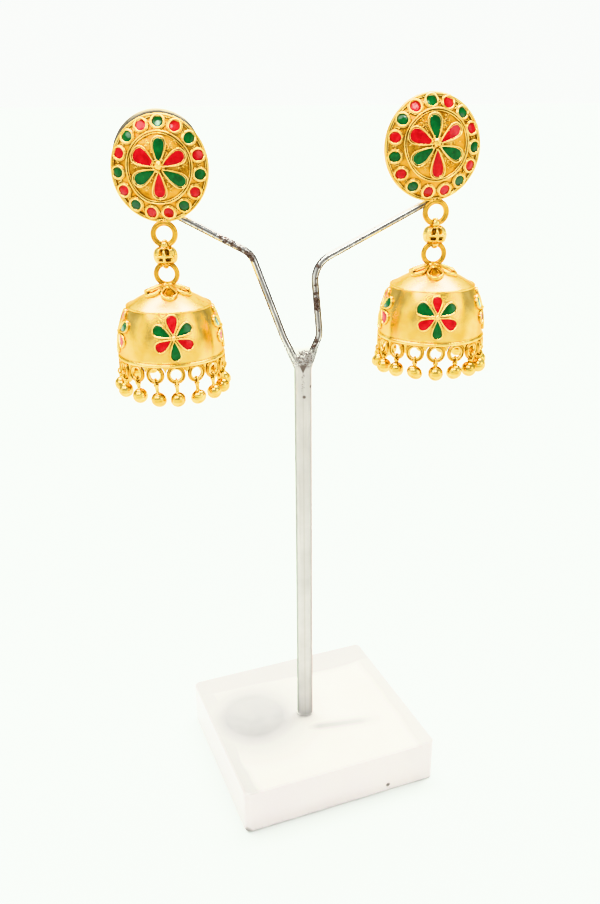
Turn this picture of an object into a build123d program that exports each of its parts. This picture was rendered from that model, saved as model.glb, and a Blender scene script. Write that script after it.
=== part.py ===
"""Pair of enamelled jhumka earrings hanging on a two-armed wire display stand.

Millimetres, +Z up. The origin is the centre of the bottom face of the acrylic block. Both
earrings face -Y. Each one is a domed stud, a link bead that swings on the stud's ring, and a
hollow bell that sways on its own ring and carries sixteen small ball drops.
"""
import os
from collections import namedtuple
from math import asin, atan2, cos, degrees, hypot, radians, sin, sqrt

from build123d import *

# Acrylic block, turned on its vertical axis, and the post that stands in it
BLOCK_LENGTH = 53.4
BLOCK_WIDTH = 48.8
BLOCK_HEIGHT = 12.4
BLOCK_TURN = 21.5
BLOCK_CORNER_RADIUS = 1.6
BLOCK_EDGE_CHAMFER = 0.4
POST_X = -1.0
POST_Y = -0.8
SOCKET_DEPTH = 2.0
SOCKET_CLEARANCE = 0.1

# Two wires side by side in a clear sleeve that opens where they part
WIRE_RADIUS = 0.8
WIRE_OFFSET = 0.85
WIRE_FOOT = BLOCK_HEIGHT - SOCKET_DEPTH + SOCKET_CLEARANCE
SLEEVE_BORE_RADIUS = 0.95
SLEEVE_WALL = 0.3
SLEEVE_FLARE_START = 112.5
SLEEVE_TOP = 117.9
SLEEVE_FLARE_SPREAD = 6.0
SLEEVE_FLARE_SHIFT = -0.2
SLEEVE_FLARE_BORE_RADIUS = 1.25

# Eye for the ear post in the middle of the flat spiral that ends each wire
SPIRAL_EYE_RADIUS = 1.35
SPIRAL_EYE_SWEEP = 220.0

# Stud: an oval plate with a spherical front; its plane starts at the ear post
STUD_HALF_WIDTH = 10.6
STUD_HALF_HEIGHT = 11.25
STUD_CENTRE_DROP = 2.8
STUD_TO_WIRE_GAP = 0.1
DOME_RADIUS = 19.0
DOME_TOP = 4.2
WIRE_RISE = 0.55
CELL_WALL = 0.34
STUD_RIM_WIDTH = 0.5
INNER_RING_SHARE = 0.655
INNER_RING_WIDTH = 0.6
DOT_COUNT = 15
DOT_RING_SHARE = 0.825
COLLET_RADIUS = 1.62
COLLET_BORE_RADIUS = 1.1
COLLET_ROOT = 0.7
GREEN_DOTS = (0, 2, 4, 6, 9, 11, 13)
STUD_PETAL_START = 0.65
STUD_PETAL_LENGTH = 5.85
STUD_PETAL_WIDTH = 3.3
STUD_GRANULE_RADIUS = 1.15

# Enamel fills, a hair clear of the metal round them
ENAMEL_GAP = 0.03
ENAMEL_RISE = 0.38

# Ear post behind the stud and the nut on it
EAR_POST_RADIUS = 0.45
EAR_POST_LENGTH = 7.2
NUT_GAP = 0.1
NUT_BORE_RADIUS = 0.5
NUT_FLANGE_RADIUS = 3.0
NUT_FLANGE_THICKNESS = 0.8
NUT_COLLAR_RADIUS = 1.6
NUT_COLLAR_LENGTH = 1.8

# Rings that the link hangs between
STUD_RING_MAJOR = 2.4
STUD_RING_MINOR = 0.65
STUD_RING_DROP = 16.6
STUD_RING_DEPTH = 0.9
BELL_RING_MAJOR = 2.35
BELL_RING_MINOR = 0.6

# Link: a melon bead with a hook round the ring above and another round the ring below
BEAD_RADIUS = 2.6
BEAD_RIDGE_RADIUS = 0.22
HOOK_BORE_RADIUS = 0.85
HOOK_WALL = 0.35
HOOK_WIDTH = 1.2

# Bell, with heights measured from the centre of its ring
CROWN_Z = -2.55
CROWN_BULGE = 0.45
SHOULDER_RADIUS = 9.55
SHOULDER_Z = -6.9
BAND_BULGE = 0.75
RIM_RADIUS = 11.95
RIM_Z = -18.25
BELL_WALL = 0.55
RIM_BEAD_RADIUS = 0.5
SHOULDER_BEAD_RADIUS = 0.25

# Cap of open petals on the crown and enamelled flowers round the band
PETAL_COUNT = 6
CAP_PETAL_START = 0.8
CAP_PETAL_LENGTH = 4.8
CAP_PETAL_WIDTH = 3.6
CAP_RISE = 0.65
CAP_SINK = 0.2
FLOWER_TURNS = (0, 84, 180, 276)
FLOWER_Z = -12.1
FLOWER_PETAL_START = 0.45
FLOWER_PETAL_LENGTH = 4.5
FLOWER_PETAL_WIDTH = 2.8
FLOWER_RISE = 0.42
FLOWER_SINK = 0.25
FLOWER_GRANULE_RADIUS = 0.65
FLOWER_SEAT_RADIUS = 11.45
FLOWER_CUT_START = 8.0
FLOWER_CUT_DEPTH = 6.0

# Soldered loops under the rim and the ball drops that hang in them
DROP_COUNT = 16
LOOP_MAJOR = 1.65
LOOP_MINOR = 0.4
LOOP_Z = -20.25
LOOP_RING_RADIUS = 11.9
EYE_MAJOR = 0.8
EYE_MINOR = 0.26
STEM_RADIUS = 0.42
BALL_RADIUS = 1.7

# One row for each side. turn swings the arm back about the post; post_x and post_z place the
# ear post along the arm; roll turns the stud on its post; bends are the corners of the arm
# with their radii; loop_x and loop_z are the spiral's outer turn from the ear post, and coils
# the radii of its first, second and fourth half turns; bloom, inner_ring and dots are how far
# each of those sits off the middle of the handmade stud; ring_x moves the stud's ring
# sideways; spacing is the height between the two rings; facing is the azimuth of the front
# flower; leans tip the sixteen drops sideways and hangs are their lengths, both from facing.
Side = namedtuple(
    "Side",
    "name sign turn post_x post_z roll bends loop_x loop_z coils bloom inner_ring dots"
    " ring_x spacing facing leans hangs",
)
SIDES = (
    Side(
        name="left",
        sign=-1,
        turn=0.0,
        post_x=-30.5,
        post_z=160.9,
        roll=-1.8,
        bends=((-WIRE_OFFSET, 112.7, 4.0), (-4.4, 120.0, 12.0), (-11.5, 139.55, 5.0)),
        loop_x=-0.55,
        loop_z=-0.55,
        coils=(8.9, 6.7, 3.1),
        bloom=(0.23, 0.92),
        inner_ring=(0.12, 0.31),
        dots=(-0.06, 0.16),
        ring_x=0.42,
        spacing=8.8,
        facing=11.8,
        leans=(2, 4, 6, 3, -4, 5, -3, 2, -5, 4, 3, -6, 4, -7, 7, 7),
        hangs=(4.1, 4.1, 4.0, 3.8, 3.3, 2.8, 2.7, 2.8, 2.7, 2.8, 2.7, 2.9, 3.1, 3.4, 3.6, 4.1),
    ),
    Side(
        name="right",
        sign=1,
        turn=7.0,
        post_x=28.2,
        post_z=164.6,
        roll=5.8,
        bends=(
            (WIRE_OFFSET, 113.4, 4.0),
            (4.0, 120.4, 5.0),
            (2.6, 136.9, 6.0),
            (28.6, 150.3, 3.0),
        ),
        loop_x=-0.3,
        loop_z=-1.5,
        coils=(8.0, 6.1, 2.85),
        bloom=(0.22, 1.18),
        inner_ring=(0.43, 0.57),
        dots=(0.15, 0.18),
        ring_x=0.135,
        spacing=9.15,
        facing=-7.9,
        leans=(3, -3, -9, -3, 4, -5, 3, -2, 5, -4, 6, -3, 4, 2, 0, 1),
        hangs=(2.9, 2.8, 2.8, 2.9, 3.0, 2.7, 2.8, 2.7, 2.7, 2.8, 2.7, 2.8, 3.0, 3.1, 2.9, 2.9),
    ),
)


def arm_plane(side):
    """Upright plane of one arm, through the post: x along the arm, y up, z to the front."""
    along = (cos(radians(side.turn)), sin(radians(side.turn)), 0)
    front = (sin(radians(side.turn)), -cos(radians(side.turn)), 0)
    return Plane(origin=(POST_X, POST_Y, 0), x_dir=along, z_dir=front)


def shifted(plane, x=0.0, y=0.0, z=0.0):
    """The same plane with its origin moved in its own directions."""
    return Plane(
        origin=plane.from_local_coords((x, y, z)),
        x_dir=plane.x_dir,
        z_dir=plane.z_dir,
    )


def rolled(plane, angle):
    """The same plane turned about its own normal, counter-clockwise from the front."""
    across = plane.x_dir * cos(radians(angle)) + plane.y_dir * sin(radians(angle))
    return Plane(origin=plane.origin, x_dir=across, z_dir=plane.z_dir)


def stud_plane(side):
    """Back face of the stud, centred on the ear post and rolled with the stud."""
    back = shifted(
        arm_plane(side), side.post_x, side.post_z, WIRE_RADIUS + STUD_TO_WIRE_GAP
    )
    return rolled(back, side.roll)


def hang_plane(side):
    """Level plane at the centre of the bell's ring, straight below the stud's ring."""
    ring = stud_plane(side).from_local_coords(
        (side.ring_x, -STUD_RING_DROP, STUD_RING_DEPTH)
    )
    arm = arm_plane(side)
    return Plane(origin=ring - Vector(0, 0, side.spacing), x_dir=arm.x_dir, z_dir=(0, 0, 1))


def upright_plane(side):
    """Plane through the bell's axis: x along the arm, y up."""
    hang = hang_plane(side)
    return Plane(origin=hang.origin, x_dir=hang.x_dir, z_dir=-hang.y_dir)


def outward_plane(side, azimuth, radius, height):
    """Plane facing away from the bell's axis: x round the bell, y up, z outward."""
    hang = hang_plane(side)
    sine = sin(radians(azimuth))
    cosine = cos(radians(azimuth))
    outward = hang.x_dir * sine - hang.y_dir * cosine
    around = hang.x_dir * cosine + hang.y_dir * sine
    origin = hang.origin + outward * radius + hang.z_dir * height
    return Plane(origin=origin, x_dir=around, z_dir=outward)


def round_the_bell(side, turns, radius, height):
    """Outward planes round the bell, each turned that far from the front flower."""
    return [outward_plane(side, side.facing + turn, radius, height) for turn in turns]


def teardrop(length, width, inset):
    """Petal outline with its tip towards the origin, drawn in evenly by inset."""
    centre = length - width / 2
    slope = asin(width / 2 / centre)
    radius = width / 2 - inset
    tip = centre - radius / sin(slope)
    shoulder_x = centre - radius * sin(slope)
    shoulder_y = radius * cos(slope)
    with BuildSketch() as petal:
        with BuildLine():
            Line((tip, 0), (shoulder_x, shoulder_y))
            ThreePointArc(
                (shoulder_x, shoulder_y), (centre + radius, 0), (shoulder_x, -shoulder_y)
            )
            Line((shoulder_x, -shoulder_y), (tip, 0))
        make_face()
    return petal.sketch


def petal_wall(length, width):
    """Outline of a petal cell: the raised metal strip round one petal."""
    outside = teardrop(length, width, 0)
    inside = teardrop(length, width, CELL_WALL)
    with BuildSketch() as wall:
        add(outside)
        add(inside, mode=Mode.SUBTRACT)
    return wall.sketch


def flower(petal, start, count, first_angle):
    """Petals spread evenly round the origin, each with its tip start away from it."""
    with BuildSketch() as spread:
        with PolarLocations(start, count, start_angle=first_angle):
            add(petal)
    return spread.sketch


def oval_plane(side):
    """Back face of the stud, centred on its oval outline."""
    return shifted(stud_plane(side), y=-STUD_CENTRE_DROP)


def dome_centre(side):
    """Centre of the sphere that the stud's front is part of."""
    return oval_plane(side).from_local_coords((0, 0, DOME_TOP - DOME_RADIUS))


def dot_planes(side, indices, lift):
    """Planes on the dome under the chosen dots, counted clockwise from the top."""
    oval = oval_plane(side)
    centre_x, centre_y = side.dots
    planes = []
    for index in indices:
        angle = radians(90 - index * 360 / DOT_COUNT)
        x = centre_x + STUD_HALF_WIDTH * DOT_RING_SHARE * cos(angle)
        y = centre_y + STUD_HALF_HEIGHT * DOT_RING_SHARE * sin(angle)
        z = DOME_TOP - DOME_RADIUS + sqrt(DOME_RADIUS**2 - x**2 - y**2)
        seat = oval.from_local_coords((x, y, z))
        normal = (seat - dome_centre(side)).normalized()
        planes.append(Plane(origin=seat + normal * lift, z_dir=normal))
    return planes


def make_block():
    """Clear acrylic block with a shallow socket for the foot of the sleeve."""
    with BuildPart() as block:
        with BuildSketch():
            Rectangle(BLOCK_LENGTH, BLOCK_WIDTH, rotation=BLOCK_TURN)
        extrude(amount=BLOCK_HEIGHT)
        fillet(block.edges().filter_by(Axis.Z), BLOCK_CORNER_RADIUS)
        levels = block.edges().filter_by(Axis.Z, reverse=True).group_by(Axis.Z)
        chamfer(levels[0] + levels[-1], BLOCK_EDGE_CHAMFER)
        with BuildSketch(Plane((POST_X, POST_Y, BLOCK_HEIGHT))):
            SlotCenterToCenter(
                2 * WIRE_OFFSET,
                2 * (SLEEVE_BORE_RADIUS + SLEEVE_WALL + SOCKET_CLEARANCE),
            )
        extrude(amount=-SOCKET_DEPTH, mode=Mode.SUBTRACT)
    return block


def sleeve_form(straight_radius, top_radius):
    """Straight obround column that opens out at the top where the wires part."""
    with BuildPart() as form:
        with BuildSketch(Plane((POST_X, POST_Y, WIRE_FOOT))):
            SlotCenterToCenter(2 * WIRE_OFFSET, 2 * straight_radius)
        extrude(amount=SLEEVE_FLARE_START - WIRE_FOOT)
        with BuildSketch(Plane((POST_X, POST_Y, SLEEVE_FLARE_START))):
            SlotCenterToCenter(2 * WIRE_OFFSET, 2 * straight_radius)
        with BuildSketch(Plane((POST_X + SLEEVE_FLARE_SHIFT, POST_Y, SLEEVE_TOP))):
            SlotCenterToCenter(SLEEVE_FLARE_SPREAD, 2 * top_radius)
        loft()
    return form.part


def make_sleeve():
    """Clear sleeve that holds the two wires together."""
    outside = sleeve_form(
        SLEEVE_BORE_RADIUS + SLEEVE_WALL, SLEEVE_FLARE_BORE_RADIUS + SLEEVE_WALL
    )
    inside = sleeve_form(SLEEVE_BORE_RADIUS, SLEEVE_FLARE_BORE_RADIUS)
    with BuildPart() as sleeve:
        add(outside)
        add(inside, mode=Mode.SUBTRACT)
    return sleeve


def spiral_radii(side):
    """Radii of the half turns, with the third set so that the eye ends at the ear post."""
    first, second, fourth = side.coils
    offset = hypot(side.loop_x, side.loop_z)
    third = second + fourth - (first + SPIRAL_EYE_RADIUS - offset) / 2
    return first, second, third, fourth, SPIRAL_EYE_RADIUS


def make_wire(side):
    """One wire: up the post, out along the arm and round into the flat spiral."""
    radii = spiral_radii(side)
    centre_x = side.post_x + side.loop_x
    centre_y = side.post_z + side.loop_z
    last_x, last_y, _ = side.bends[-1]
    reach = hypot(centre_x - last_x, centre_y - last_y)
    bearing = atan2(centre_y - last_y, centre_x - last_x) - side.sign * asin(radii[0] / reach)
    run = sqrt(reach**2 - radii[0] ** 2)
    touch = (last_x + run * cos(bearing), last_y + run * sin(bearing))
    start_angle = degrees(atan2(touch[1] - centre_y, touch[0] - centre_x))
    inward = degrees(atan2(-side.loop_z, -side.loop_x))
    first_sweep = side.sign * ((side.sign * (inward - start_angle)) % 360)
    corners = [(x, y) for x, y, _ in side.bends]
    fillets = [radius for _, _, radius in side.bends]
    arm = arm_plane(side)
    with BuildPart() as wire:
        with BuildLine(arm) as route:
            FilletPolyline(
                (side.sign * WIRE_OFFSET, WIRE_FOOT), *corners, touch, radius=fillets
            )
            CenterArc((centre_x, centre_y), radii[0], start_angle, first_sweep)
            heading = inward
            for outer, inner in zip(radii, radii[1:]):
                centre_x += (outer - inner) * cos(radians(heading))
                centre_y += (outer - inner) * sin(radians(heading))
                sweep_angle = SPIRAL_EYE_SWEEP if inner == radii[-1] else 180
                CenterArc((centre_x, centre_y), inner, heading, side.sign * sweep_angle)
                heading += 180
        with BuildSketch(Plane(origin=route.line @ 0, z_dir=route.line % 0)):
            Circle(WIRE_RADIUS)
        sweep()
    return wire


def raised_on_dome(side, outline, rise):
    """Metal strips with the given outline, standing a set height above the dome."""
    with BuildPart() as strips:
        with BuildSketch(oval_plane(side)):
            add(outline)
        extrude(amount=DOME_TOP + rise)
        with Locations(dome_centre(side)):
            Sphere(DOME_RADIUS + rise, mode=Mode.INTERSECT)
    return strips.part


def stud_wires(side):
    """Outline of the stud's rim, its inner ring and its six petal cells."""
    petals = flower(
        petal_wall(STUD_PETAL_LENGTH, STUD_PETAL_WIDTH), STUD_PETAL_START, PETAL_COUNT, 90
    )
    ring_x = STUD_HALF_WIDTH * INNER_RING_SHARE
    ring_y = STUD_HALF_HEIGHT * INNER_RING_SHARE
    half = INNER_RING_WIDTH / 2
    with BuildSketch() as outline:
        Ellipse(STUD_HALF_WIDTH, STUD_HALF_HEIGHT)
        Ellipse(
            STUD_HALF_WIDTH - STUD_RIM_WIDTH,
            STUD_HALF_HEIGHT - STUD_RIM_WIDTH,
            mode=Mode.SUBTRACT,
        )
        with Locations(side.inner_ring):
            Ellipse(ring_x + half, ring_y + half)
            Ellipse(ring_x - half, ring_y - half, mode=Mode.SUBTRACT)
        add(petals.moved(Location((*side.bloom, 0))))
    return outline.sketch


def make_stud(side):
    """Domed stud with its rim, collets, petal cells, ring and ear post, soldered in one."""
    back = stud_plane(side)
    oval = oval_plane(side)
    wires = raised_on_dome(side, stud_wires(side), WIRE_RISE)
    with BuildPart() as stud:
        with BuildSketch(oval):
            Ellipse(STUD_HALF_WIDTH, STUD_HALF_HEIGHT)
        extrude(amount=DOME_TOP)
        with Locations(dome_centre(side)):
            Sphere(DOME_RADIUS, mode=Mode.INTERSECT)
        add(wires)
        with BuildSketch(*dot_planes(side, range(DOT_COUNT), -COLLET_ROOT)):
            Circle(COLLET_RADIUS)
            Circle(COLLET_BORE_RADIUS, mode=Mode.SUBTRACT)
        extrude(amount=COLLET_ROOT + WIRE_RISE)
        with Locations(shifted(oval, *side.bloom, DOME_TOP)):
            Sphere(STUD_GRANULE_RADIUS)
        with Locations(shifted(back, side.ring_x, -STUD_RING_DROP, STUD_RING_DEPTH)):
            Torus(STUD_RING_MAJOR, STUD_RING_MINOR)
        with BuildSketch(shifted(back, z=-EAR_POST_LENGTH)):
            Circle(EAR_POST_RADIUS)
        extrude(amount=EAR_POST_LENGTH + STUD_RING_DEPTH)
    return stud


def make_stud_enamel(side, first_petal_angle, dots):
    """Enamel of one colour on a stud: three petals and every other dot."""
    petal = teardrop(STUD_PETAL_LENGTH, STUD_PETAL_WIDTH, CELL_WALL + ENAMEL_GAP)
    spread = flower(petal, STUD_PETAL_START, PETAL_COUNT // 2, first_petal_angle)
    outline = spread.moved(Location((*side.bloom, 0)))
    petals = raised_on_dome(side, outline, ENAMEL_RISE)
    with BuildPart() as enamel:
        add(petals)
        with Locations(dome_centre(side)):
            Sphere(DOME_RADIUS + ENAMEL_GAP, mode=Mode.SUBTRACT)
        with BuildSketch(*dot_planes(side, dots, ENAMEL_GAP)):
            Circle(COLLET_BORE_RADIUS - ENAMEL_GAP)
        extrude(amount=ENAMEL_RISE)
    return enamel


def make_nut(side):
    """Flanged nut on the ear post, behind the eye of the spiral."""
    front = STUD_TO_WIRE_GAP + 2 * WIRE_RADIUS + NUT_GAP
    face = shifted(stud_plane(side), z=-front)
    with BuildPart() as nut:
        with BuildSketch(face):
            Circle(NUT_FLANGE_RADIUS)
        extrude(amount=-NUT_FLANGE_THICKNESS)
        with BuildSketch(shifted(face, z=-NUT_FLANGE_THICKNESS)):
            Circle(NUT_COLLAR_RADIUS)
        extrude(amount=-NUT_COLLAR_LENGTH)
        with BuildSketch(face):
            Circle(NUT_BORE_RADIUS)
        extrude(amount=-NUT_FLANGE_THICKNESS - NUT_COLLAR_LENGTH, mode=Mode.SUBTRACT)
    return nut


def make_link(side):
    """Melon bead with a hook over the stud's ring and another under the bell's ring."""
    upper = side.spacing - STUD_RING_MAJOR
    lower = BELL_RING_MAJOR
    middle = (upper + lower) / 2
    upright = upright_plane(side)
    hang = hang_plane(side)
    across = Plane(origin=hang.origin, x_dir=hang.z_dir, z_dir=hang.x_dir)
    start = shifted(across, z=-HOOK_WIDTH / 2)
    edge = shifted(across, z=-BEAD_RADIUS)
    with BuildPart() as link:
        with BuildSketch(upright):
            with BuildLine():
                ThreePointArc((0, lower), (BEAD_RADIUS, middle), (0, upper))
                Line((0, upper), (0, lower))
            make_face()
        revolve(axis=Axis(hang.origin, hang.z_dir))
        with Locations(shifted(hang, z=middle)):
            Torus(BEAD_RADIUS - BEAD_RIDGE_RADIUS / 2, BEAD_RIDGE_RADIUS)
        with BuildSketch(start):
            with Locations((upper, 0), (lower, 0)):
                Circle(HOOK_BORE_RADIUS + HOOK_WALL)
        extrude(amount=HOOK_WIDTH)
        with BuildSketch(edge):
            with Locations((upper, 0), (lower, 0)):
                Circle(HOOK_BORE_RADIUS)
        extrude(amount=2 * BEAD_RADIUS, mode=Mode.SUBTRACT)
    return link


def bell_skin(side, start, end, bulge, low, high, direction):
    """Layer of the bell over one stretch of its outline, between two offsets from it."""
    dx, dy = direction
    near_start = (start[0] + dx * low, start[1] + dy * low)
    near_end = (end[0] + dx * low, end[1] + dy * low)
    far_start = (start[0] + dx * high, start[1] + dy * high)
    far_end = (end[0] + dx * high, end[1] + dy * high)
    hang = hang_plane(side)
    with BuildPart() as skin:
        with BuildSketch(upright_plane(side)):
            with BuildLine():
                SagittaArc(near_start, near_end, bulge)
                Line(near_end, far_end)
                SagittaArc(far_start, far_end, bulge)
                Line(far_start, near_start)
            make_face()
        revolve(axis=Axis(hang.origin, hang.z_dir))
    return skin.part


def crown_skin(side, low, high):
    """Layer over the crown, from its top to the shoulder."""
    top = (0, CROWN_Z)
    shoulder = (SHOULDER_RADIUS, SHOULDER_Z)
    return bell_skin(side, top, shoulder, CROWN_BULGE, low, high, (0, 1))


def band_skin(side, low, high):
    """Layer over the band, from the shoulder to the rim."""
    shoulder = (SHOULDER_RADIUS, SHOULDER_Z)
    rim = (RIM_RADIUS, RIM_Z)
    return bell_skin(side, shoulder, rim, BAND_BULGE, low, high, (1, 0))


def on_band(side, outline, low, high):
    """An outline repeated at each flower and wrapped on the band."""
    zone = band_skin(side, low, high)
    planes = round_the_bell(side, FLOWER_TURNS, FLOWER_CUT_START, FLOWER_Z)
    with BuildPart() as wrapped:
        with BuildSketch(*planes):
            add(outline)
        extrude(amount=FLOWER_CUT_DEPTH)
        add(zone, mode=Mode.INTERSECT)
    return wrapped.part


def cap_petals(side):
    """Open petals that spread over the crown from the bell's ring."""
    wall = petal_wall(CAP_PETAL_LENGTH, CAP_PETAL_WIDTH)
    outline = flower(wall, CAP_PETAL_START, PETAL_COUNT, side.facing - 90)
    zone = crown_skin(side, -CAP_SINK, CAP_RISE)
    with BuildPart() as cap:
        with BuildSketch(shifted(hang_plane(side), z=SHOULDER_Z)):
            add(outline)
        extrude(amount=CROWN_Z - SHOULDER_Z + CAP_RISE)
        add(zone, mode=Mode.INTERSECT)
    return cap.part


def make_bell(side):
    """Hollow bell with its ring, cap, flower cells, rim and drop loops, soldered in one."""
    crown = crown_skin(side, -BELL_WALL, 0)
    band = band_skin(side, -BELL_WALL, 0)
    wall = petal_wall(FLOWER_PETAL_LENGTH, FLOWER_PETAL_WIDTH)
    outline = flower(wall, FLOWER_PETAL_START, PETAL_COUNT, 90)
    cells = on_band(side, outline, -FLOWER_SINK, FLOWER_RISE)
    cap = cap_petals(side)
    hang = hang_plane(side)
    upright = upright_plane(side)
    loop_turns = [index * 360 / DROP_COUNT for index in range(DROP_COUNT)]
    loops = round_the_bell(side, loop_turns, LOOP_RING_RADIUS, LOOP_Z)
    seats = round_the_bell(side, FLOWER_TURNS, FLOWER_SEAT_RADIUS, FLOWER_Z)
    with BuildPart() as bell:
        add(crown)
        add(band)
        with Locations(shifted(hang, z=SHOULDER_Z)):
            Torus(SHOULDER_RADIUS, SHOULDER_BEAD_RADIUS)
        with Locations(shifted(hang, z=RIM_Z)):
            Torus(RIM_RADIUS, RIM_BEAD_RADIUS)
        with Locations(upright):
            Torus(BELL_RING_MAJOR, BELL_RING_MINOR)
        add(cap)
        add(cells)
        with Locations(*seats):
            Sphere(FLOWER_GRANULE_RADIUS)
        with Locations(*loops):
            Torus(LOOP_MAJOR, LOOP_MINOR)
    return bell


def make_bell_enamel(side, first_petal_angle):
    """Enamel of one colour on a bell: three petals of each flower."""
    petal = teardrop(FLOWER_PETAL_LENGTH, FLOWER_PETAL_WIDTH, CELL_WALL + ENAMEL_GAP)
    outline = flower(petal, FLOWER_PETAL_START, PETAL_COUNT // 2, first_petal_angle)
    petals = on_band(side, outline, ENAMEL_GAP, ENAMEL_RISE)
    with BuildPart() as enamel:
        add(petals)
    return enamel


def make_drop(side, index):
    """Ball drop: an eye through its loop, a stem and a ball, tipped sideways a little."""
    azimuth = side.facing + index * 360 / DROP_COUNT
    loop = outward_plane(side, azimuth, LOOP_RING_RADIUS, LOOP_Z)
    hook = rolled(shifted(loop, y=-LOOP_MAJOR), side.leans[index])
    eye = Plane(origin=hook.origin, x_dir=hook.z_dir, z_dir=hook.x_dir)
    stem = Plane(
        origin=hook.from_local_coords((0, -EYE_MAJOR, 0)), x_dir=hook.x_dir, z_dir=-hook.y_dir
    )
    with BuildPart() as drop:
        with Locations(eye):
            Torus(EYE_MAJOR, EYE_MINOR)
        with BuildSketch(stem):
            Circle(STEM_RADIUS)
        extrude(amount=side.hangs[index] - EYE_MAJOR)
        with Locations(shifted(hook, y=-side.hangs[index])):
            Sphere(BALL_RADIUS)
    return drop


def save(piece, name):
    """Label a finished piece and write it to its own file."""
    piece.part.label = name
    export_step(piece.part, f"parts/{name}.step")


os.makedirs("parts", exist_ok=True)
save(make_block(), "base_block")
save(make_sleeve(), "post_sleeve")
for side in SIDES:
    red_dots = [index for index in range(DOT_COUNT) if index not in GREEN_DOTS]
    save(make_wire(side), f"{side.name}_wire")
    save(make_stud(side), f"{side.name}_stud")
    save(make_stud_enamel(side, 30, red_dots), f"{side.name}_stud_red_enamel")
    save(make_stud_enamel(side, 90, GREEN_DOTS), f"{side.name}_stud_green_enamel")
    save(make_nut(side), f"{side.name}_post_nut")
    save(make_link(side), f"{side.name}_link")
    save(make_bell(side), f"{side.name}_bell")
    save(make_bell_enamel(side, 90), f"{side.name}_bell_red_enamel")
    save(make_bell_enamel(side, 30), f"{side.name}_bell_green_enamel")
    for index in range(DROP_COUNT):
        save(make_drop(side, index), f"{side.name}_drop_{index + 1:02d}")
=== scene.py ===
"""Looks of the jhumka pair on its display stand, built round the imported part.

Shapes are worked out in millimetres in the part's own frame and written in metres.
"""
import math
from functools import partial

import bmesh
import bpy
import numpy as np
from mathutils import Matrix, Vector, noise


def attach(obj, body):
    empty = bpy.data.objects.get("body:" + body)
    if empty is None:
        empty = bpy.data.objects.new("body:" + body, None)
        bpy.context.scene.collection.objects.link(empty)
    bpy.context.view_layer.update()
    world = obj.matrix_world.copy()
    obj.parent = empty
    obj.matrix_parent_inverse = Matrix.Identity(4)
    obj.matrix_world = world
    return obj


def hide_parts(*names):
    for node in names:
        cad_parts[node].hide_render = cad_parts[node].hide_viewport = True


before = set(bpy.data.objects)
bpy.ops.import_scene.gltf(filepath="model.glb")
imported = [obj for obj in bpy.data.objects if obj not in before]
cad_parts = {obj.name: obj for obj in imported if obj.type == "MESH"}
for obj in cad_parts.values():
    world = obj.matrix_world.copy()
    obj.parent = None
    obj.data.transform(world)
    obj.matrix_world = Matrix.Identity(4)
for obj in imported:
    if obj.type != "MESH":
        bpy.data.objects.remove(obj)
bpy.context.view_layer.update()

MM = 0.001
TAU = 2 * math.pi
UP = np.array((0.0, 0.0, 1.0))

# Stand
POST = np.array((-1.0, -0.8, 0.0))
WIRE_RADIUS = 0.8
WIRE_OFFSET = 0.85
WIRE_FOOT = 10.5
SLEEVE_RADIUS = 1.28
SLEEVE_BORE = 0.95
FLARE_START = 112.5
FLARE_TOP = 117.9
FLARE_SPREAD = 6.25
FLARE_SHIFT = -0.25
FLARE_RADIUS = 1.08
FLARE_BORE = 0.92
BLOCK_TURN = 21.5
CHIP = (21.0, -17.95, 2.18)
SMUDGE = (-15.9, -32.5, 0.3)
FLOOR_LIT_Y = -80.0
FLOOR_DIM_Y = -170.0
FLOOR_GAP = 0.05
FLOOR_REACH = 30000.0
SPIRAL_EYE = 1.35

# Stud
STUD_BACK_Y = 0.9
HALF_WIDTH = 10.6
HALF_HEIGHT = 11.25
CENTRE_DROP = 2.8
DOME_RADIUS = 19.0
DOME_TOP = 4.2
RING_SHARE = 0.645
DOT_COUNT = 15
DOT_SHARE = 0.825
GREEN_DOTS = (0, 2, 4, 6, 9, 11, 13)
PETAL_START = 0.6
PETAL_LENGTH = 6.0
PETAL_WIDTH = 3.3
PETAL_DROP = 0.55
STUD_RING_DROP = 16.6
STUD_RING_DEPTH = 0.9

# Link and bell, heights measured from the centre of the bell's ring
CROWN_Z = -2.55
CROWN_BULGE = 0.45
SHOULDER_R = 9.55
SHOULDER_Z = -6.9
BAND_BULGE = 0.75
RIM_R = 11.95
RIM_Z = -18.25
BELL_WALL = 0.55
FLOWER_TURNS = (0, 84, 180, 276)
FLOWER_Z = -12.1
DUST_SEAT_R = 11.0
DUST_REACH = 6.2
DUST_CORE = 3.6
LOOP_COUNT = 16
LOOP_MAJOR = 1.65
LOOP_RING_R = 11.9
LOOP_Z = -20.25

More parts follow.
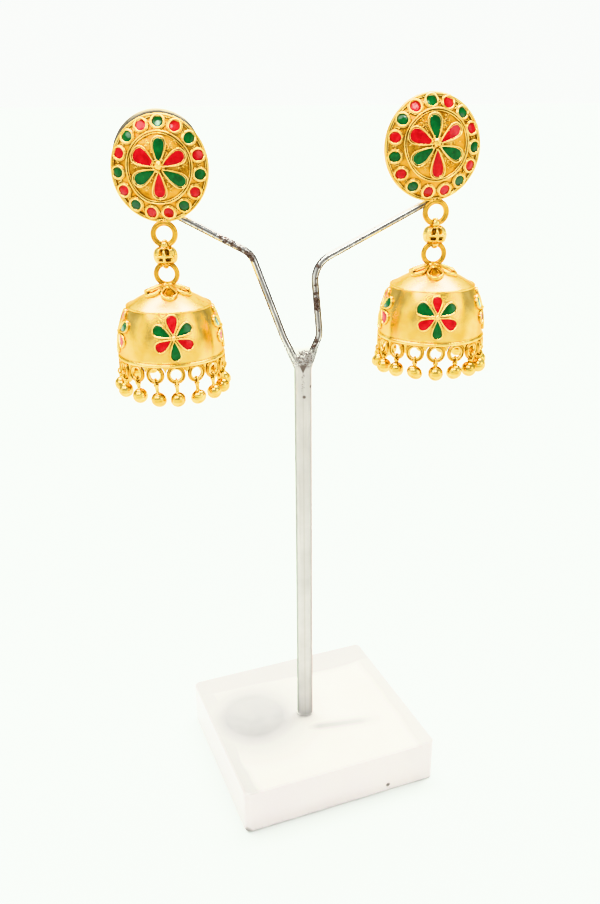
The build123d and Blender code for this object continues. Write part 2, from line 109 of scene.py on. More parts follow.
# One row for each side. turn swings the arm back about the post; post_x and post_z place the
# ear post and roll tips the stud; ring_x and spacing place its ring and the bell's ring below;
# bends are the wire's corners with their radii; loop and coils shape the spiral behind the
# stud; bloom, inner_ring and dots are how far those sit off the dome's centre; facing is where
# the front flower looks; leans and hangs tilt and drop each ball; petals and flower give the
# length and breadth of each petal, by its angle, as shares of the plain petal.
SIDES = {
    "left": dict(
        sign=-1, turn=0.0, post_x=-30.5, post_z=160.9, roll=-1.8, ring_x=0.42, spacing=8.8,
        bends=((-WIRE_OFFSET, 112.7, 4.0), (-4.4, 120.0, 12.0), (-11.5, 139.55, 5.0)),
        bloom=(0.23, 0.92), inner_ring=(0.12, 0.31), dots=(-0.06, 0.16),
        loop=(-0.5, -0.75), coils=(9.25, 6.9, 3.1), facing=11.8, seed=3,
        leans=(2, 4, 6, 3, -4, 5, -3, 2, -5, 4, 3, -6, 4, -7, 7, 7),
        hangs=(4.1, 4.1, 4.0, 3.8, 3.3, 2.8, 2.7, 2.8, 2.7, 2.8, 2.7, 2.9, 3.1, 3.4, 3.6,
               4.1),
        petals={30: (0.97, 1.06), 90: (0.97, 1.02), 150: (1.0, 1.24), 210: (0.97, 1.07),
                270: (1.0, 1.04), 330: (1.02, 1.04)},
        flower={30: (1.0, 1.0), 90: (1.04, 1.03), 150: (1.02, 1.04), 210: (1.0, 0.98),
                270: (1.08, 0.98), 330: (1.0, 1.0)},
        flower_tilt=3.0,
    ),
    "right": dict(
        sign=1, turn=7.0, post_x=28.2, post_z=164.6, roll=5.8, ring_x=0.135, spacing=9.15,
        bends=((WIRE_OFFSET, 113.4, 4.0), (4.0, 120.4, 5.0), (2.6, 136.9, 6.0),
               (28.6, 150.3, 3.0)),
        bloom=(0.22, 1.18), inner_ring=(0.43, 0.57), dots=(0.15, 0.18),
        loop=(-0.3, -1.5), coils=(8.0, 6.1, 2.85), facing=-7.9, seed=8,
        leans=(3, -3, -9, -3, 4, -5, 3, -2, 5, -4, 6, -3, 4, 2, 0, 1),
        hangs=(2.9, 2.8, 2.8, 2.9, 3.0, 2.7, 2.8, 2.7, 2.7, 2.8, 2.7, 2.8, 3.0, 3.1, 2.9,
               2.9),
        petals={30: (1.0, 0.98), 90: (0.99, 1.05), 150: (1.0, 1.19), 210: (0.95, 1.07),
                270: (1.08, 1.07), 330: (0.98, 1.04)},
        flower={30: (1.0, 1.02), 90: (0.94, 0.94), 150: (1.04, 1.2), 210: (1.0, 1.0),
                270: (1.04, 0.98), 330: (1.02, 1.08)},
        flower_tilt=1.0,
    ),
}


# ---------------------------------------------------------------- small mesh kit
def put(name, data):
    """A new object in the scene."""
    thing = bpy.data.objects.new(name, data)
    bpy.context.scene.collection.objects.link(thing)
    return thing


class Form:
    """Collects parts of one piece: points in millimetres, faces and a material number."""

    def __init__(self):
        self.points, self.faces, self.slots, self.count = [], [], [], 0

    def add(self, points, faces, slot=0):
        points = np.asarray(points, float).reshape(-1, 3)
        self.points.append(points)
        faces = np.asarray(faces) + self.count
        self.faces.append(faces)
        self.slots.append(np.full(len(faces), slot))
        self.count += len(points)

    def make(self, name, body, materials, replaces=(), slot=None):
        """Writes the mesh, smooth-shaded with outward normals, riding on its body."""
        mesh = bpy.data.meshes.new(name)
        points = np.concatenate(self.points) * MM
        faces = [face for group in self.faces for face in group.tolist()]
        mesh.from_pydata(points.tolist(), [], faces, shade_flat=False)
        mesh.polygons.foreach_set("material_index", np.concatenate(self.slots).astype(np.int32))
        work = bmesh.new()
        work.from_mesh(mesh)
        bmesh.ops.remove_doubles(work, verts=work.verts, dist=1e-7)
        bmesh.ops.dissolve_degenerate(work, edges=work.edges, dist=1e-8)
        bmesh.ops.recalc_face_normals(work, faces=work.faces)
        work.to_mesh(mesh)
        work.free()
        piece = put(name, mesh)
        for material in materials:
            mesh.materials.append(material)
        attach(piece, body)
        if replaces:
            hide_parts(*replaces)
        return piece


def grid_faces(rows, cols, wrap_rows=False):
    """Quads of a grid of points laid out row by row, each row closed on itself."""
    r, c = np.meshgrid(np.arange(rows if wrap_rows else rows - 1), np.arange(cols), indexing="ij")
    r2, c2 = (r + 1) % rows, (c + 1) % cols
    corners = (r * cols + c, r2 * cols + c, r2 * cols + c2, r * cols + c2)
    return np.stack(corners, -1).reshape(-1, 4)


def turns(count):
    """Angles evenly spaced round a full turn."""
    return np.linspace(0, TAU, count, endpoint=False)


def oval(across, up, angle, cx=0.0, cy=0.0):
    """x and y on an oval at the angles."""
    return cx + across * np.cos(angle), cy + up * np.sin(angle)


def circle(radius, angle, cx=0.0, cy=0.0):
    """x and y on a circle at the angles."""
    return oval(radius, radius, angle, cx, cy)


def rotated(x, y, angle):
    """x and y turned about the origin by some degrees."""
    a = math.radians(angle)
    return x * math.cos(a) - y * math.sin(a), x * math.sin(a) + y * math.cos(a)


def peak(offset, width, power=2):
    """1 at no offset, falling away on both sides; a higher power gives a flatter top."""
    return np.exp(-((offset / width) ** power))


def unit(v):
    """Vectors scaled to length 1."""
    return v / np.maximum(np.linalg.norm(v, axis=-1, keepdims=True), 1e-12)


def rough(points, scale, seed=0.0, octaves=2):
    """Smooth noise from -1 to 1 at each point; scale is the size of its lumps."""
    out = np.empty(len(points))
    for i, (x, y, z) in enumerate(points / scale):
        place = Vector((x + seed, y - seed, z + 2 * seed))
        out[i] = noise.fractal(place, 1.0, 2.0, octaves, noise_basis="PERLIN_ORIGINAL")
    return out


# Rounding of a wire's end, in degrees, and the share of its width that its tip keeps
END_STEPS = (90, 65, 40, 20)
THINNEST = 1e-3


def tube(form, path, normals, wide, high, closed, sides=14, slot=0):
    """Wire of oval section along a path; normals point the way high is measured."""
    path = np.asarray(path, float)
    n = len(path)
    if closed:
        tangent = np.roll(path, -1, 0) - np.roll(path, 1, 0)
    else:
        tangent = np.gradient(path, axis=0)
    tangent = unit(tangent)
    across = unit(np.cross(np.broadcast_to(normals, path.shape), tangent))
    lift = np.cross(tangent, across)
    wide, high = (np.broadcast_to(size, (n,)).astype(float) for size in (wide, high))
    if not closed:
        steps = np.radians(END_STEPS)
        k = len(steps)
        first, last = (sign * tangent[i] * min(wide[i], high[i]) * np.sin(steps)[:, None] + path[i]
                       for i, sign in ((0, -1), (-1, 1)))
        path = np.concatenate((first, path, last[::-1]))
        shrink = np.concatenate((np.cos(steps), np.ones(n), np.cos(steps)[::-1]))
        shrink = np.maximum(shrink, THINNEST)
        across, lift, wide, high = (np.pad(a, [(k, k)] + [(0, 0)] * (a.ndim - 1), mode="edge")
                                    for a in (across, lift, wide, high))
        wide, high = wide * shrink, high * shrink
        n = len(path)
    angle = turns(sides)
    points = (path[:, None, :]
              + across[:, None, :] * (np.cos(angle) * wide[:, None])[..., None]
              + lift[:, None, :] * (np.sin(angle) * high[:, None])[..., None])
    form.add(points, grid_faces(n, sides, wrap_rows=closed), slot)
    if not closed:
        for end in (points[0], points[-1]):
            form.add(end, [list(range(sides))], slot)


def lathe(form, plane, profile, around=48, slot=0, change=None):
    """Turns a profile of (radius, height) about a plane's z axis."""
    profile = np.asarray(profile, float)
    angle = turns(around)
    radius, height = (profile[:, k][:, None] * np.ones(around) for k in (0, 1))
    if change is not None:
        radius, height = change(radius, height, angle)
    form.add(plane.at(*circle(radius, angle), height), grid_faces(len(profile), around), slot)


def ring(form, plane, major, minor, around=56, sides=16, slot=0, high=None, wobble=0.0,
         seed=0.0):
    """Torus about a plane's z axis, with an oval section if high is given."""
    angle = turns(around)
    size = major + wobble * np.sin(2 * angle + seed) + 0.5 * wobble * np.sin(3 * angle - seed)
    path = plane.at(*circle(size, angle), 0)
    tube(form, path, plane.z, minor, high or minor, True, sides, slot)


def hoop(form, plane, wires, around, sides, seed):
    """Soldered ring: a broad middle wire with a lip outside and one inside."""
    for major, wide, high, slot in wires:
        ring(form, plane, major, wide, around, sides, slot, high=high, wobble=0.02, seed=seed)


def ball_profile(radius, steps=24, seam=0.0):
    """Half circle of a ball from its foot to its top, with an optional groove round it."""
    angle = np.linspace(-math.pi / 2, math.pi / 2, steps)
    size = radius - seam * peak(angle, 0.07)
    return np.stack((np.maximum(size * np.cos(angle), 1e-3), size * np.sin(angle)), -1)


class Plane:
    """A place and three directions in the part's frame."""

    def __init__(self, origin, x, z):
        self.o = np.asarray(origin, float)
        self.x = unit(np.asarray(x, float))
        self.z = unit(np.asarray(z, float))
        self.y = np.cross(self.z, self.x)

    def out(self, local):
        """Points given along the plane's own directions, turned into the part's frame."""
        return self.o + self.along(np.asarray(local, float))

    def at(self, x, y, z):
        """The same from x, y and z apart, each an array or one number."""
        return self.out(np.stack(np.broadcast_arrays(x, y, z), -1))

    def along(self, local):
        """Directions instead of points."""
        return local[..., 0:1] * self.x + local[..., 1:2] * self.y + local[..., 2:3] * self.z

    def moved(self, x=0.0, y=0.0, z=0.0):
        """The plane set down elsewhere, by its own x, y and z."""
        return Plane(self.out((x, y, z)), self.x, self.z)

    def rolled(self, angle):
        """The plane turned about its z by some degrees."""
        a = math.radians(angle)
        return Plane(self.o, self.x * math.cos(a) + self.y * math.sin(a), self.z)


def arm_plane(side):
    """The upright plane of a stand arm: x along it, y up, z to the front."""
    t = math.radians(side["turn"])
    return Plane(POST, (math.cos(t), math.sin(t), 0), (math.sin(t), -math.cos(t), 0))


def stud_plane(side):
    """The back of a stud, at its ear post, rolled as the stud hangs."""
    back = arm_plane(side).moved(side["post_x"], side["post_z"], STUD_BACK_Y)
    return back.rolled(side["roll"])


def hang_plane(side):
    """The centre of the bell's ring: x along the arm, z up."""
    hook = stud_plane(side).moved(side["ring_x"], -STUD_RING_DROP, STUD_RING_DEPTH)
    return Plane(hook.o - UP * side["spacing"], arm_plane(side).x, UP)


def outward_plane(side, azimuth, radius, height):
    """A place out from the bell's axis, facing outward."""
    hang = hang_plane(side)
    s, c = math.sin(math.radians(azimuth)), math.cos(math.radians(azimuth))
    outward = hang.x * s - hang.y * c
    return Plane(hang.o + outward * radius + UP * height, hang.x * c + hang.y * s, outward)


# ---------------------------------------------------------------- materials
def colour(hex_code):
    """Linear colour of an sRGB hex code."""
    parts = [int(hex_code[i:i + 2], 16) / 255 for i in (1, 3, 5)]
    linear = [p / 12.92 if p <= 0.04045 else ((p + 0.055) / 1.055) ** 2.4 for p in parts]
    return (*linear, 1.0)


class Nodes:
    """Short hand for building one node tree; where is the place being shaded."""

    def __init__(self, tree, place):
        self.tree = tree
        self.where = self.add("ShaderNodeTexCoord").outputs[place]

    def add(self, kind, inputs=(), **settings):
        """Adds a node with its settings; inputs are by name or number, linked or plain."""
        node = self.tree.nodes.new(kind)
        for key, value in settings.items():
            setattr(node, key, value)
        for key, value in dict(inputs).items():
            self.feed(node.inputs[key], value)
        return node

    def link(self, a, b):
        self.tree.links.new(a, b)

    def feed(self, socket, value):
        """Links a socket to another, or sets it to a plain value."""
        if isinstance(value, bpy.types.NodeSocket):
            self.link(value, socket)
        else:
            socket.default_value = value

    def noise(self, scale, detail=3.0, stretch=None, distortion=0.0):
        """Noise with the given number of lumps a metre."""
        place = self.where
        if stretch:
            place = self.add("ShaderNodeMapping", {"Vector": place, "Scale": stretch}).outputs[0]
        inputs = {"Vector": place, "Scale": scale, "Detail": detail, "Distortion": distortion}
        return self.add("ShaderNodeTexNoise", inputs).outputs["Fac"]

    def span(self, source, low, high, to_low=0.0, to_high=1.0, kind="LINEAR"):
        """Maps low to to_low and high to to_high, and stays level past them."""
        inputs = {"Value": source, "From Min": low, "From Max": high, "To Min": to_low,
                  "To Max": to_high}
        return self.add("ShaderNodeMapRange", inputs, interpolation_type=kind).outputs["Result"]

    def mix(self, factor, a, b):
        """Colour a where the factor is 0, b where it is 1; either may be a hex code."""
        node = self.add("ShaderNodeMix", data_type="RGBA")
        sockets = {s.name: s for s in node.inputs if s.enabled}
        for name, value in (("Factor", factor), ("A", a), ("B", b)):
            self.feed(sockets[name], colour(value) if isinstance(value, str) else value)
        return [o for o in node.outputs if o.enabled][0]

    def maths(self, operation, *values):
        """A number worked out from plain numbers or sockets."""
        return self.add("ShaderNodeMath", enumerate(values), operation=operation).outputs[0]

    def vector(self, operation, a, b):
        """A number worked out from two vectors."""
        inputs = ((0, a), (1, b))
        return self.add("ShaderNodeVectorMath", inputs, operation=operation).outputs["Value"]

    def times(self, a, b):
        """One mask dimmed by another."""
        return self.maths("MULTIPLY", a, b)

    def most(self, first, *others):
        """The greatest of several masks."""
        for other in others:
            first = self.maths("MAXIMUM", first, other)
        return first

    def axes(self, source=None):
        """The x, y and z outputs of a place."""
        return self.add("ShaderNodeSeparateXYZ", {"Vector": source or self.where}).outputs

    def near(self, point, radius, core=0.0):
        """1 within the core round a point in millimetres, falling to 0 at the radius."""
        gap = self.vector("DISTANCE", self.where, [v * MM for v in point])
        return self.span(gap, core * MM, radius * MM, 1.0, 0.0)

    def corners(self, reach, strength):
        """Mask for painted shade: up to the strength in corners and crevices, nothing on open
        metal.
        """
        node = self.add("ShaderNodeAmbientOcclusion", {"Distance": reach * MM}, samples=6)
        return self.span(node.outputs["AO"], 0.3, 0.9, strength, 0.0)

    def facing(self, direction, low, high, both=False):
        """1 where the surface faces a direction, or its opposite too, 0 where it turns away."""
        normal = self.add("ShaderNodeNewGeometry").outputs["Normal"]
        turned = self.vector("DOT_PRODUCT", normal, direction)
        if both:
            turned = self.maths("ABSOLUTE", turned)
        return self.span(turned, low, high)


class Paint(Nodes):
    """One node material."""

    def __init__(self, name):
        self.material = bpy.data.materials.new(name)
        self.material.use_nodes = True
        super().__init__(self.material.node_tree, "Object")
        self.shader = self.tree.nodes["Principled BSDF"]

    def set(self, **values):
        """Plain values or sockets for the shader's own inputs."""
        for key, value in values.items():
            self.feed(self.shader.inputs[key.replace("_", " ")], value)

    def bump(self, source, distance, strength=1.0, after=None):
        """Relief of a depth in metres, over the bump that comes before it if there is one."""
        inputs = {"Height": source, "Distance": distance, "Strength": strength}
        node = self.add("ShaderNodeBump", inputs)
        if after is not None:
            self.link(after, node.inputs["Normal"])
        self.set(Normal=node.outputs["Normal"])
        return node.outputs["Normal"]


def gold(name, light, deep, rough_low, rough_high, lump, depth, crevice_shade, streak=False,
         reach=0.45):
    """Yellow gold plate: patchy colour and sheen, fine lumps, streaks where it is sheet.

    lump is the number of lumps a metre and depth their height in metres; after those comes how dark
    the painted shade in crevices gets within reach, in millimetres.
    """
    paint = Paint(name)
    paint.set(Metallic=1.0, Specular_Tint=(0.8, 0.6, 0.32, 1.0))
    patches = paint.noise(420, 4.0)
    fine = paint.noise(2600, 3.0)
    hue = paint.mix(paint.span(patches, 0.32, 0.68), deep, light)
    speck = paint.span(fine, 0.62, 0.76, 0.0, 0.5)
    hue = paint.mix(speck, hue, deep)
    # Crevices darkened by ambient occlusion toward a brown gold: painted shade.
    paint.set(Base_Color=paint.mix(paint.corners(reach, crevice_shade), hue, "#7A4C14"))
    if streak:
        lines = paint.noise(900, 2.0, (1.0, 1.0, 0.06))
        sheen = paint.maths("ADD", paint.span(lines, 0.3, 0.7, 0.0, 0.5),
                            paint.span(patches, 0.3, 0.7, 0.0, 0.5))
        paint.set(Roughness=paint.span(sheen, 0.0, 1.0, rough_low, rough_high))
        first = paint.bump(lines, depth * 0.6, 0.5)
        second = paint.bump(paint.noise(lump, 4.0), depth, 0.6, after=first)
        seats = [outward_plane(row, row["facing"] + swing, DUST_SEAT_R, FLOWER_Z).o
                 for row in SIDES.values() for swing in FLOWER_TURNS]
        dust = paint.most(*(paint.near(seat, DUST_REACH, DUST_CORE) for seat in seats))
        grain = paint.span(paint.noise(4200, 3.0), 0.52, 0.66)
        paint.bump(paint.times(dust, grain), 0.00004, 0.55, after=second)
    else:
        paint.set(Roughness=paint.span(patches, 0.3, 0.7, rough_low, rough_high))
        paint.bump(paint.noise(lump, 4.0), depth, 0.7)
    return paint.material


def enamel(name, light, deep, pool):
    """Glassy enamel, poured and a little uneven, darker where it pools."""
    paint = Paint(name)
    paint.set(Metallic=0.0, IOR=1.5, Specular_IOR_Level=0.32)
    clouds = paint.noise(700, 3.0, distortion=0.4)
    tone = paint.mix(paint.span(clouds, 0.35, 0.65), deep, light)
    specks = paint.noise(3800, 2.0)
    paint.set(Base_Color=paint.mix(paint.span(specks, 0.62, 0.75, 0.0, 0.6), tone, pool))
    paint.set(Roughness=paint.span(clouds, 0.3, 0.7, 0.05, 0.14))
    paint.bump(paint.noise(1100, 2.0), 0.0001, 0.6)
    return paint.material


# Rust on the wires: a place in millimetres and how far the rust reaches from it
RUST = (
    ((-12.7, -1.6, 138.9), 1.7), ((-13.8, -1.6, 139.7), 1.2), ((-15.2, -1.6, 140.7), 1.3),
    ((-16.6, -1.6, 141.7), 1.3), ((-18.0, -1.6, 142.6), 1.2), ((-19.4, -1.6, 143.4), 1.0),
    ((2.0, -1.2, 128.7), 1.7), ((2.1, -1.2, 127.3), 1.7), ((2.0, -1.2, 130.6), 0.8),
    ((2.0, -1.2, 132.4), 0.65), ((2.1, -1.2, 134.0), 0.6), ((2.7, -1.2, 136.7), 0.9),
    ((2.9, -1.2, 121.8), 0.7), ((2.3, -1.3, 119.2), 0.9), ((1.6, -1.3, 118.0), 0.9),
    ((-41.0, 0.0, 158.0), 5.0), ((38.0, 4.8, 158.0), 4.0),
)
# A place on the wire behind the left stud where it turns darker and duller, fading out to the
# reach.
DARKER_AT = (-30.9, -0.8, 166.5)
DARKER_REACH = 14.0
DARKER_CORE = 10.0
FRONT, TOP = (0.0, -1.0, 0.0), (0.0, 0.0, 1.0)
LEFT, RIGHT = (-1.0, 0.0, 0.0), (1.0, 0.0, 0.0)


def wire_steel():
    """Bright drawn wire, with draw lines, smudges and rust where it was bent, a painted dark
    reflection down its front and painted shade on its flanks.
    """
    paint = Paint("drawn_steel")
    paint.set(Specular_Tint=(0.18, 0.18, 0.18, 1.0))
    lines = paint.noise(1500, 3.0, (1.0, 1.0, 0.05))
    smudge = paint.noise(260, 4.0)
    grey = paint.mix(paint.span(smudge, 0.35, 0.7), "#CBCBCA", "#ACABA9")
    grey = paint.mix(paint.span(lines, 0.5, 0.72, 0.0, 0.5), grey, "#7A736C")
    # A dark line down the part of the wire facing the front, broken up by the draw lines: painted
    # reflection.
    dark_reflection = paint.times(paint.facing((0.12, -0.99, 0.05), 0.955, 0.99, both=True),
                       paint.span(lines, 0.28, 0.5, 0.35, 0.85))
    grey = paint.mix(dark_reflection, grey, "#5A504B")
    # The flanks, turned away from front and back, are painted darker: painted shade.
    shaded_flanks = paint.facing(FRONT, 0.86, 0.7, both=True)
    grey = paint.mix(shaded_flanks, grey, "#706D6B")
    # Darker, duller grey round a place behind the left stud.
    darker_grey = paint.mix(paint.span(smudge, 0.3, 0.7), "#5F594D", "#7D7566")
    darkened = paint.near(DARKER_AT, DARKER_REACH, DARKER_CORE)
    grey = paint.mix(darkened, grey, darker_grey)
    spots = paint.most(*(paint.near(point, radius) for point, radius in RUST))
    grain = paint.noise(1700, 5.0, distortion=0.6)
    mask = paint.maths("ADD", spots, paint.span(grain, 0.3, 0.7, -0.65, 0.35))
    mask = paint.span(mask, 0.12, 0.42)
    rust = paint.mix(paint.span(paint.noise(2600, 3.0), 0.4, 0.6), "#352A25", "#65534B")
    paint.set(Base_Color=paint.mix(mask, grey, rust))
    paint.set(Metallic=paint.span(mask, 0.0, 1.0, 1.0, 0.15))
    gloss = paint.span(lines, 0.3, 0.7, 0.2, 0.34)
    dull = paint.most(paint.span(mask, 0.0, 1.0, 0.0, 0.7),
                       paint.span(darkened, 0.0, 1.0, 0.0, 0.5))
    paint.set(Roughness=paint.most(gloss, dull))
    first = paint.bump(lines, 0.00003, 0.5)
    paint.bump(paint.times(mask, grain), 0.00012, 0.8, after=first)
    return paint.material


# Marks on the tubing: its seam, the dark wedge where the wires part, the clear web above it
SEAM_X = -0.96
WEDGE_FOOT = 111.7
WEDGE_TOP = 113.6
WEDGE_SLOPE = 0.45
WEB_LOW = 113.4
WEB_CLEAR = 114.4
WEB_EDGES = (116.2, 117.6)
BARE_METAL_AT = (-0.6, -1.9, 115.2)
VEES_AT = (-1.0, -2.1, 109.0)
TUBE_SPOTS = ((-0.72, -2.08, 105.76), (1.0, -1.6, 108.3))
SPOT_R = 0.5


def milky_tube():
    """Milky tubing: soft, a little translucent, with fine lengthwise marks."""
    paint = Paint("milky_tube")
    lines = paint.noise(1400, 2.0, (1.0, 1.0, 0.03))
    cloud = paint.noise(120, 3.0)
    tone = paint.mix(paint.span(cloud, 0.35, 0.65), "#A9A6A3", "#B3B0AD")
    tone = paint.mix(paint.span(lines, 0.55, 0.75, 0.0, 0.5), tone, "#A5A19A")
    # The left side is painted darker and greener and the right side pinker: painted shade and
    # painted reflection by side.
    tone = paint.mix(paint.facing(LEFT, 0.55, 0.95), tone, "#798071")
    tone = paint.mix(paint.facing(RIGHT, 0.55, 0.95), tone, "#9A8C87")
    x, _, height = paint.axes()
    aside = paint.maths("ABSOLUTE", paint.maths("ADD", x, -SEAM_X * MM))
    front = paint.facing(FRONT, 0.2, 0.4)
    wedge = paint.maths("MULTIPLY_ADD", height, -WEDGE_SLOPE, WEDGE_FOOT * WEDGE_SLOPE * MM)
    wedge = paint.span(paint.maths("ADD", aside, wedge), -0.02 * MM, 0.08 * MM, 1.0, 0.0)
    wedge = paint.times(wedge, paint.span(height, WEB_LOW * MM, WEDGE_TOP * MM, 1.0, 0.0))
    speckle = paint.span(paint.noise(2200, 4.0), 0.34, 0.56)
    metal = paint.times(paint.near(BARE_METAL_AT, 2.6, 1.8), speckle)
    vees = paint.span(paint.noise(1900, 2.0, (1.0, 1.0, 1.6)), 0.52, 0.6)
    vees = paint.times(vees, paint.span(aside, 0.25 * MM, 0.45 * MM, 0.8, 0.0))
    vees = paint.times(vees, paint.near(VEES_AT, 2.6, 2.0))
    marks = paint.most(wedge, vees, metal)
    marks = paint.most(marks, *(paint.near(spot, SPOT_R, SPOT_R / 2) for spot in TUBE_SPOTS))
    marks = paint.times(marks, front)
    seam = paint.times(paint.span(aside, 0.05 * MM, 0.2 * MM, 0.45, 0.0), front)
    tone = paint.mix(seam, tone, "#9C978D")
    clear = paint.span(height, WEB_LOW * MM, WEB_CLEAR * MM)
    tone = paint.mix(clear, tone, "#F4F3F0")
    # The web's side edges are painted darker and less clear: painted shade.
    shaded_ends = paint.most(paint.facing((-1.0, -0.2, 0.0), 0.6, 0.95),
                       paint.facing((1.0, -0.2, 0.0), 0.6, 0.95))
    shaded_ends = paint.times(shaded_ends, paint.span(height, *(z * MM for z in WEB_EDGES), 1.0, 0.1))
    tone = paint.mix(paint.times(clear, shaded_ends), tone, "#8E8B86")
    paint.set(Base_Color=paint.mix(marks, tone, "#665C56"))
    paint.set(IOR=1.1)
    clear = paint.times(clear, paint.span(marks, 0.0, 1.0, 1.0, 0.0))
    clear = paint.times(clear, paint.span(shaded_ends, 0.0, 1.0, 1.0, 0.5))
    paint.set(Transmission_Weight=paint.span(clear, 0.0, 1.0, 0.12, 0.97))
    rough_milk = paint.span(cloud, 0.3, 0.7, 0.3, 0.45)
    paint.set(Roughness=paint.times(rough_milk, paint.span(clear, 0.0, 1.0, 1.0, 0.15)))
    paint.bump(lines, 0.00004, 0.5)
    return paint.material


# Painted light in the block's top: grey bands that are painted reflections of its inside faces, by
# where each band starts, where it is full and how strong it is; the grey pool, a painted shadow;
# the post's faint streak, its painted shadow, with its slope and where it starts
BACK_BAND = (14.6, 16.6, 0.72)
LEFT_BAND = (-22.2, -23.6, 0.7)
RIGHT_BAND = (21.6, 23.2, 0.55)
BAND_WAVER = 1.2
SHADOW_POOL_AT = (-15.2, -2.4, 12.4)
POST_SHADOW_AT = (8.5, -5.8, 12.4)
POST_SHADOW_SLOPE = 0.19
POST_SHADOW_Y = -7.4


def clear_block():
    """Clear acrylic gone milky, with hairline scratches in its gloss, painted reflections and
    painted shadows in its top, and painted light by face.
    """
    paint = Paint("clear_acrylic")
    cloud = paint.noise(60, 3.0)
    top = paint.mix(paint.span(cloud, 0.3, 0.7), "#C9C6C1", "#D8D5D0")
    inputs = {"Vector": paint.where, "Rotation": (0.0, 0.0, -math.radians(BLOCK_TURN))}
    turned = paint.add("ShaderNodeMapping", inputs, vector_type="POINT")
    waver = paint.span(paint.noise(45, 2.0), 0.3, 0.7, -BAND_WAVER * MM, BAND_WAVER * MM)
    across, back, _ = (paint.maths("ADD", axis, waver) for axis in paint.axes(turned.outputs[0]))
    # Grey bands along the back, left and right: painted reflections of the block's inside faces.
    bands = [paint.span(axis, start * MM, full * MM, 0.0, strength)
             for axis, (start, full, strength)
             in ((back, BACK_BAND), (across, LEFT_BAND), (across, RIGHT_BAND))]
    # The grey pool on the left: painted shadow.
    pool = paint.times(paint.near(SHADOW_POOL_AT, 23.0, 8.0), paint.span(cloud, 0.2, 0.6, 0.85, 1.0))
    x, y, _ = paint.axes()
    # The post's streak across the top: painted shadow.
    slant = paint.maths("ADD", paint.maths("MULTIPLY_ADD", x, -POST_SHADOW_SLOPE, -POST_SHADOW_Y * MM), y)
    post_shadow = paint.span(paint.maths("ABSOLUTE", slant), 0.5 * MM, 3.0 * MM, 0.85, 0.0)
    post_shadow = paint.times(post_shadow, paint.near(POST_SHADOW_AT, 13.0, 6.0))
    top = paint.mix(paint.most(*bands, pool, post_shadow), top, "#7B7978")
    # The sides and the top get tones of their own: painted light by face.
    side = paint.mix(paint.span(cloud, 0.3, 0.7), "#D2CBCB", "#DBD5D3")
    body = paint.mix(paint.facing(TOP, 0.3, 0.9), side, top)
    body = paint.mix(paint.near(SMUDGE, 1.8, 0.5), body, "#77736C")
    paint.set(Base_Color=paint.mix(paint.near(CHIP, 0.75, 0.35), body, "#5A5048"))
    paint.set(IOR=1.49, Transmission_Weight=0.45)
    scratches = paint.noise(900, 2.0, (1.0, 0.05, 1.0))
    paint.set(Roughness=paint.span(scratches, 0.35, 0.75, 0.1, 0.2))
    paint.bump(paint.noise(140, 3.0), 0.00002, 0.4)
    return paint.material


# Paler gold on the raised wirework: painted highlight.
PLATE = gold("gold_wirework", "#FDE59C", "#E6C066", 0.12, 0.24, 2200, 0.00004, 0.35)
# Deeper gold on the sunken ground of the studs, darkened strongly in its crevices: painted shade.
GROUND = gold("gold_ground", "#EBB455", "#A06C20", 0.22, 0.36, 3200, 0.00018, 1.0, reach=1.1)
SATIN = gold("gold_satin", "#F3D282", "#E5BC60", 0.15, 0.26, 5200, 0.00002, 0.5, streak=True)
BRIGHT = gold("gold_polished", "#F5D984", "#DDB658", 0.07, 0.16, 1500, 0.00003, 0.6)
# Paler gold for the crown of each bell: painted highlight.
CROWN = gold("gold_crown", "#FAE09C", "#F0CE80", 0.24, 0.32, 5200, 0.00002, 0.3)
# Darker gold for the rings, loops and cap petal floors: painted shade.
HOOPS = gold("gold_hoops", "#D6AC54", "#B2843A", 0.12, 0.22, 1800, 0.00004, 0.7)
ENAMELS = {
    "red": enamel("enamel_red", "#BC161C", "#9E1014", "#6C0E10"),
    "green": enamel("enamel_green", "#0F5A26", "#0A4219", "#062C0F"),
}
STEEL = wire_steel()
TUBING = milky_tube()
ACRYLIC = clear_block()
# Dark gold for the bead's notches: painted shade.
RECESS = gold("gold_recess", "#BC8C3C", "#84602A", 0.25, 0.4, 2600, 0.00008, 0.8)
GOLDS = (PLATE, GROUND, SATIN, BRIGHT, HOOPS, CROWN)
WIREWORK, GROUNDWORK, SHEET, POLISHED, HOOPWORK, CROWNWORK = range(6)


# ---------------------------------------------------------------- stud
def dome_height(x, y):
    """Height of the stud's dome over its back."""
    return DOME_TOP - DOME_RADIUS + np.sqrt(DOME_RADIUS**2 - x**2 - y**2)


def dome_point(plane, x, y, lift=0.0):
    """Points and outward normals on the dome, lifted off it."""
    z = dome_height(x, y)
    local = np.stack((x, y, z), -1)
    centre = np.array((0, 0, DOME_TOP - DOME_RADIUS))
    normal = unit(local - centre)
    lift = np.broadcast_to(lift, x.shape)[..., None]
    return plane.out(local + normal * lift), plane.along(normal)


def evenly(x, y, count):
    """The same closed outline with its points evenly spaced."""
    x, y = np.append(x, x[0]), np.append(y, y[0])
    along = np.concatenate(([0], np.cumsum(np.hypot(np.diff(x), np.diff(y)))))
    t = np.linspace(0, along[-1], count, endpoint=False)
    return np.interp(t, along, x), np.interp(t, along, y)


def petal_outline(start, length, half, angle, point=0.0, count=64):
    """Petal from a pointed tip, start from the origin, out to a rounded end."""
    s = (1 - np.cos(np.linspace(0, math.pi, 80))) / 2
    broad = half * s**0.86 * np.sqrt(np.maximum(1 - s**3.4, 0)) / 0.618
    x = start + s * length + point * peak(1 - s, 0.035)
    x = np.concatenate((x, x[-2:0:-1]))
    y = np.concatenate((-broad, broad[-2:0:-1]))
    return rotated(*evenly(x, y, count), angle)


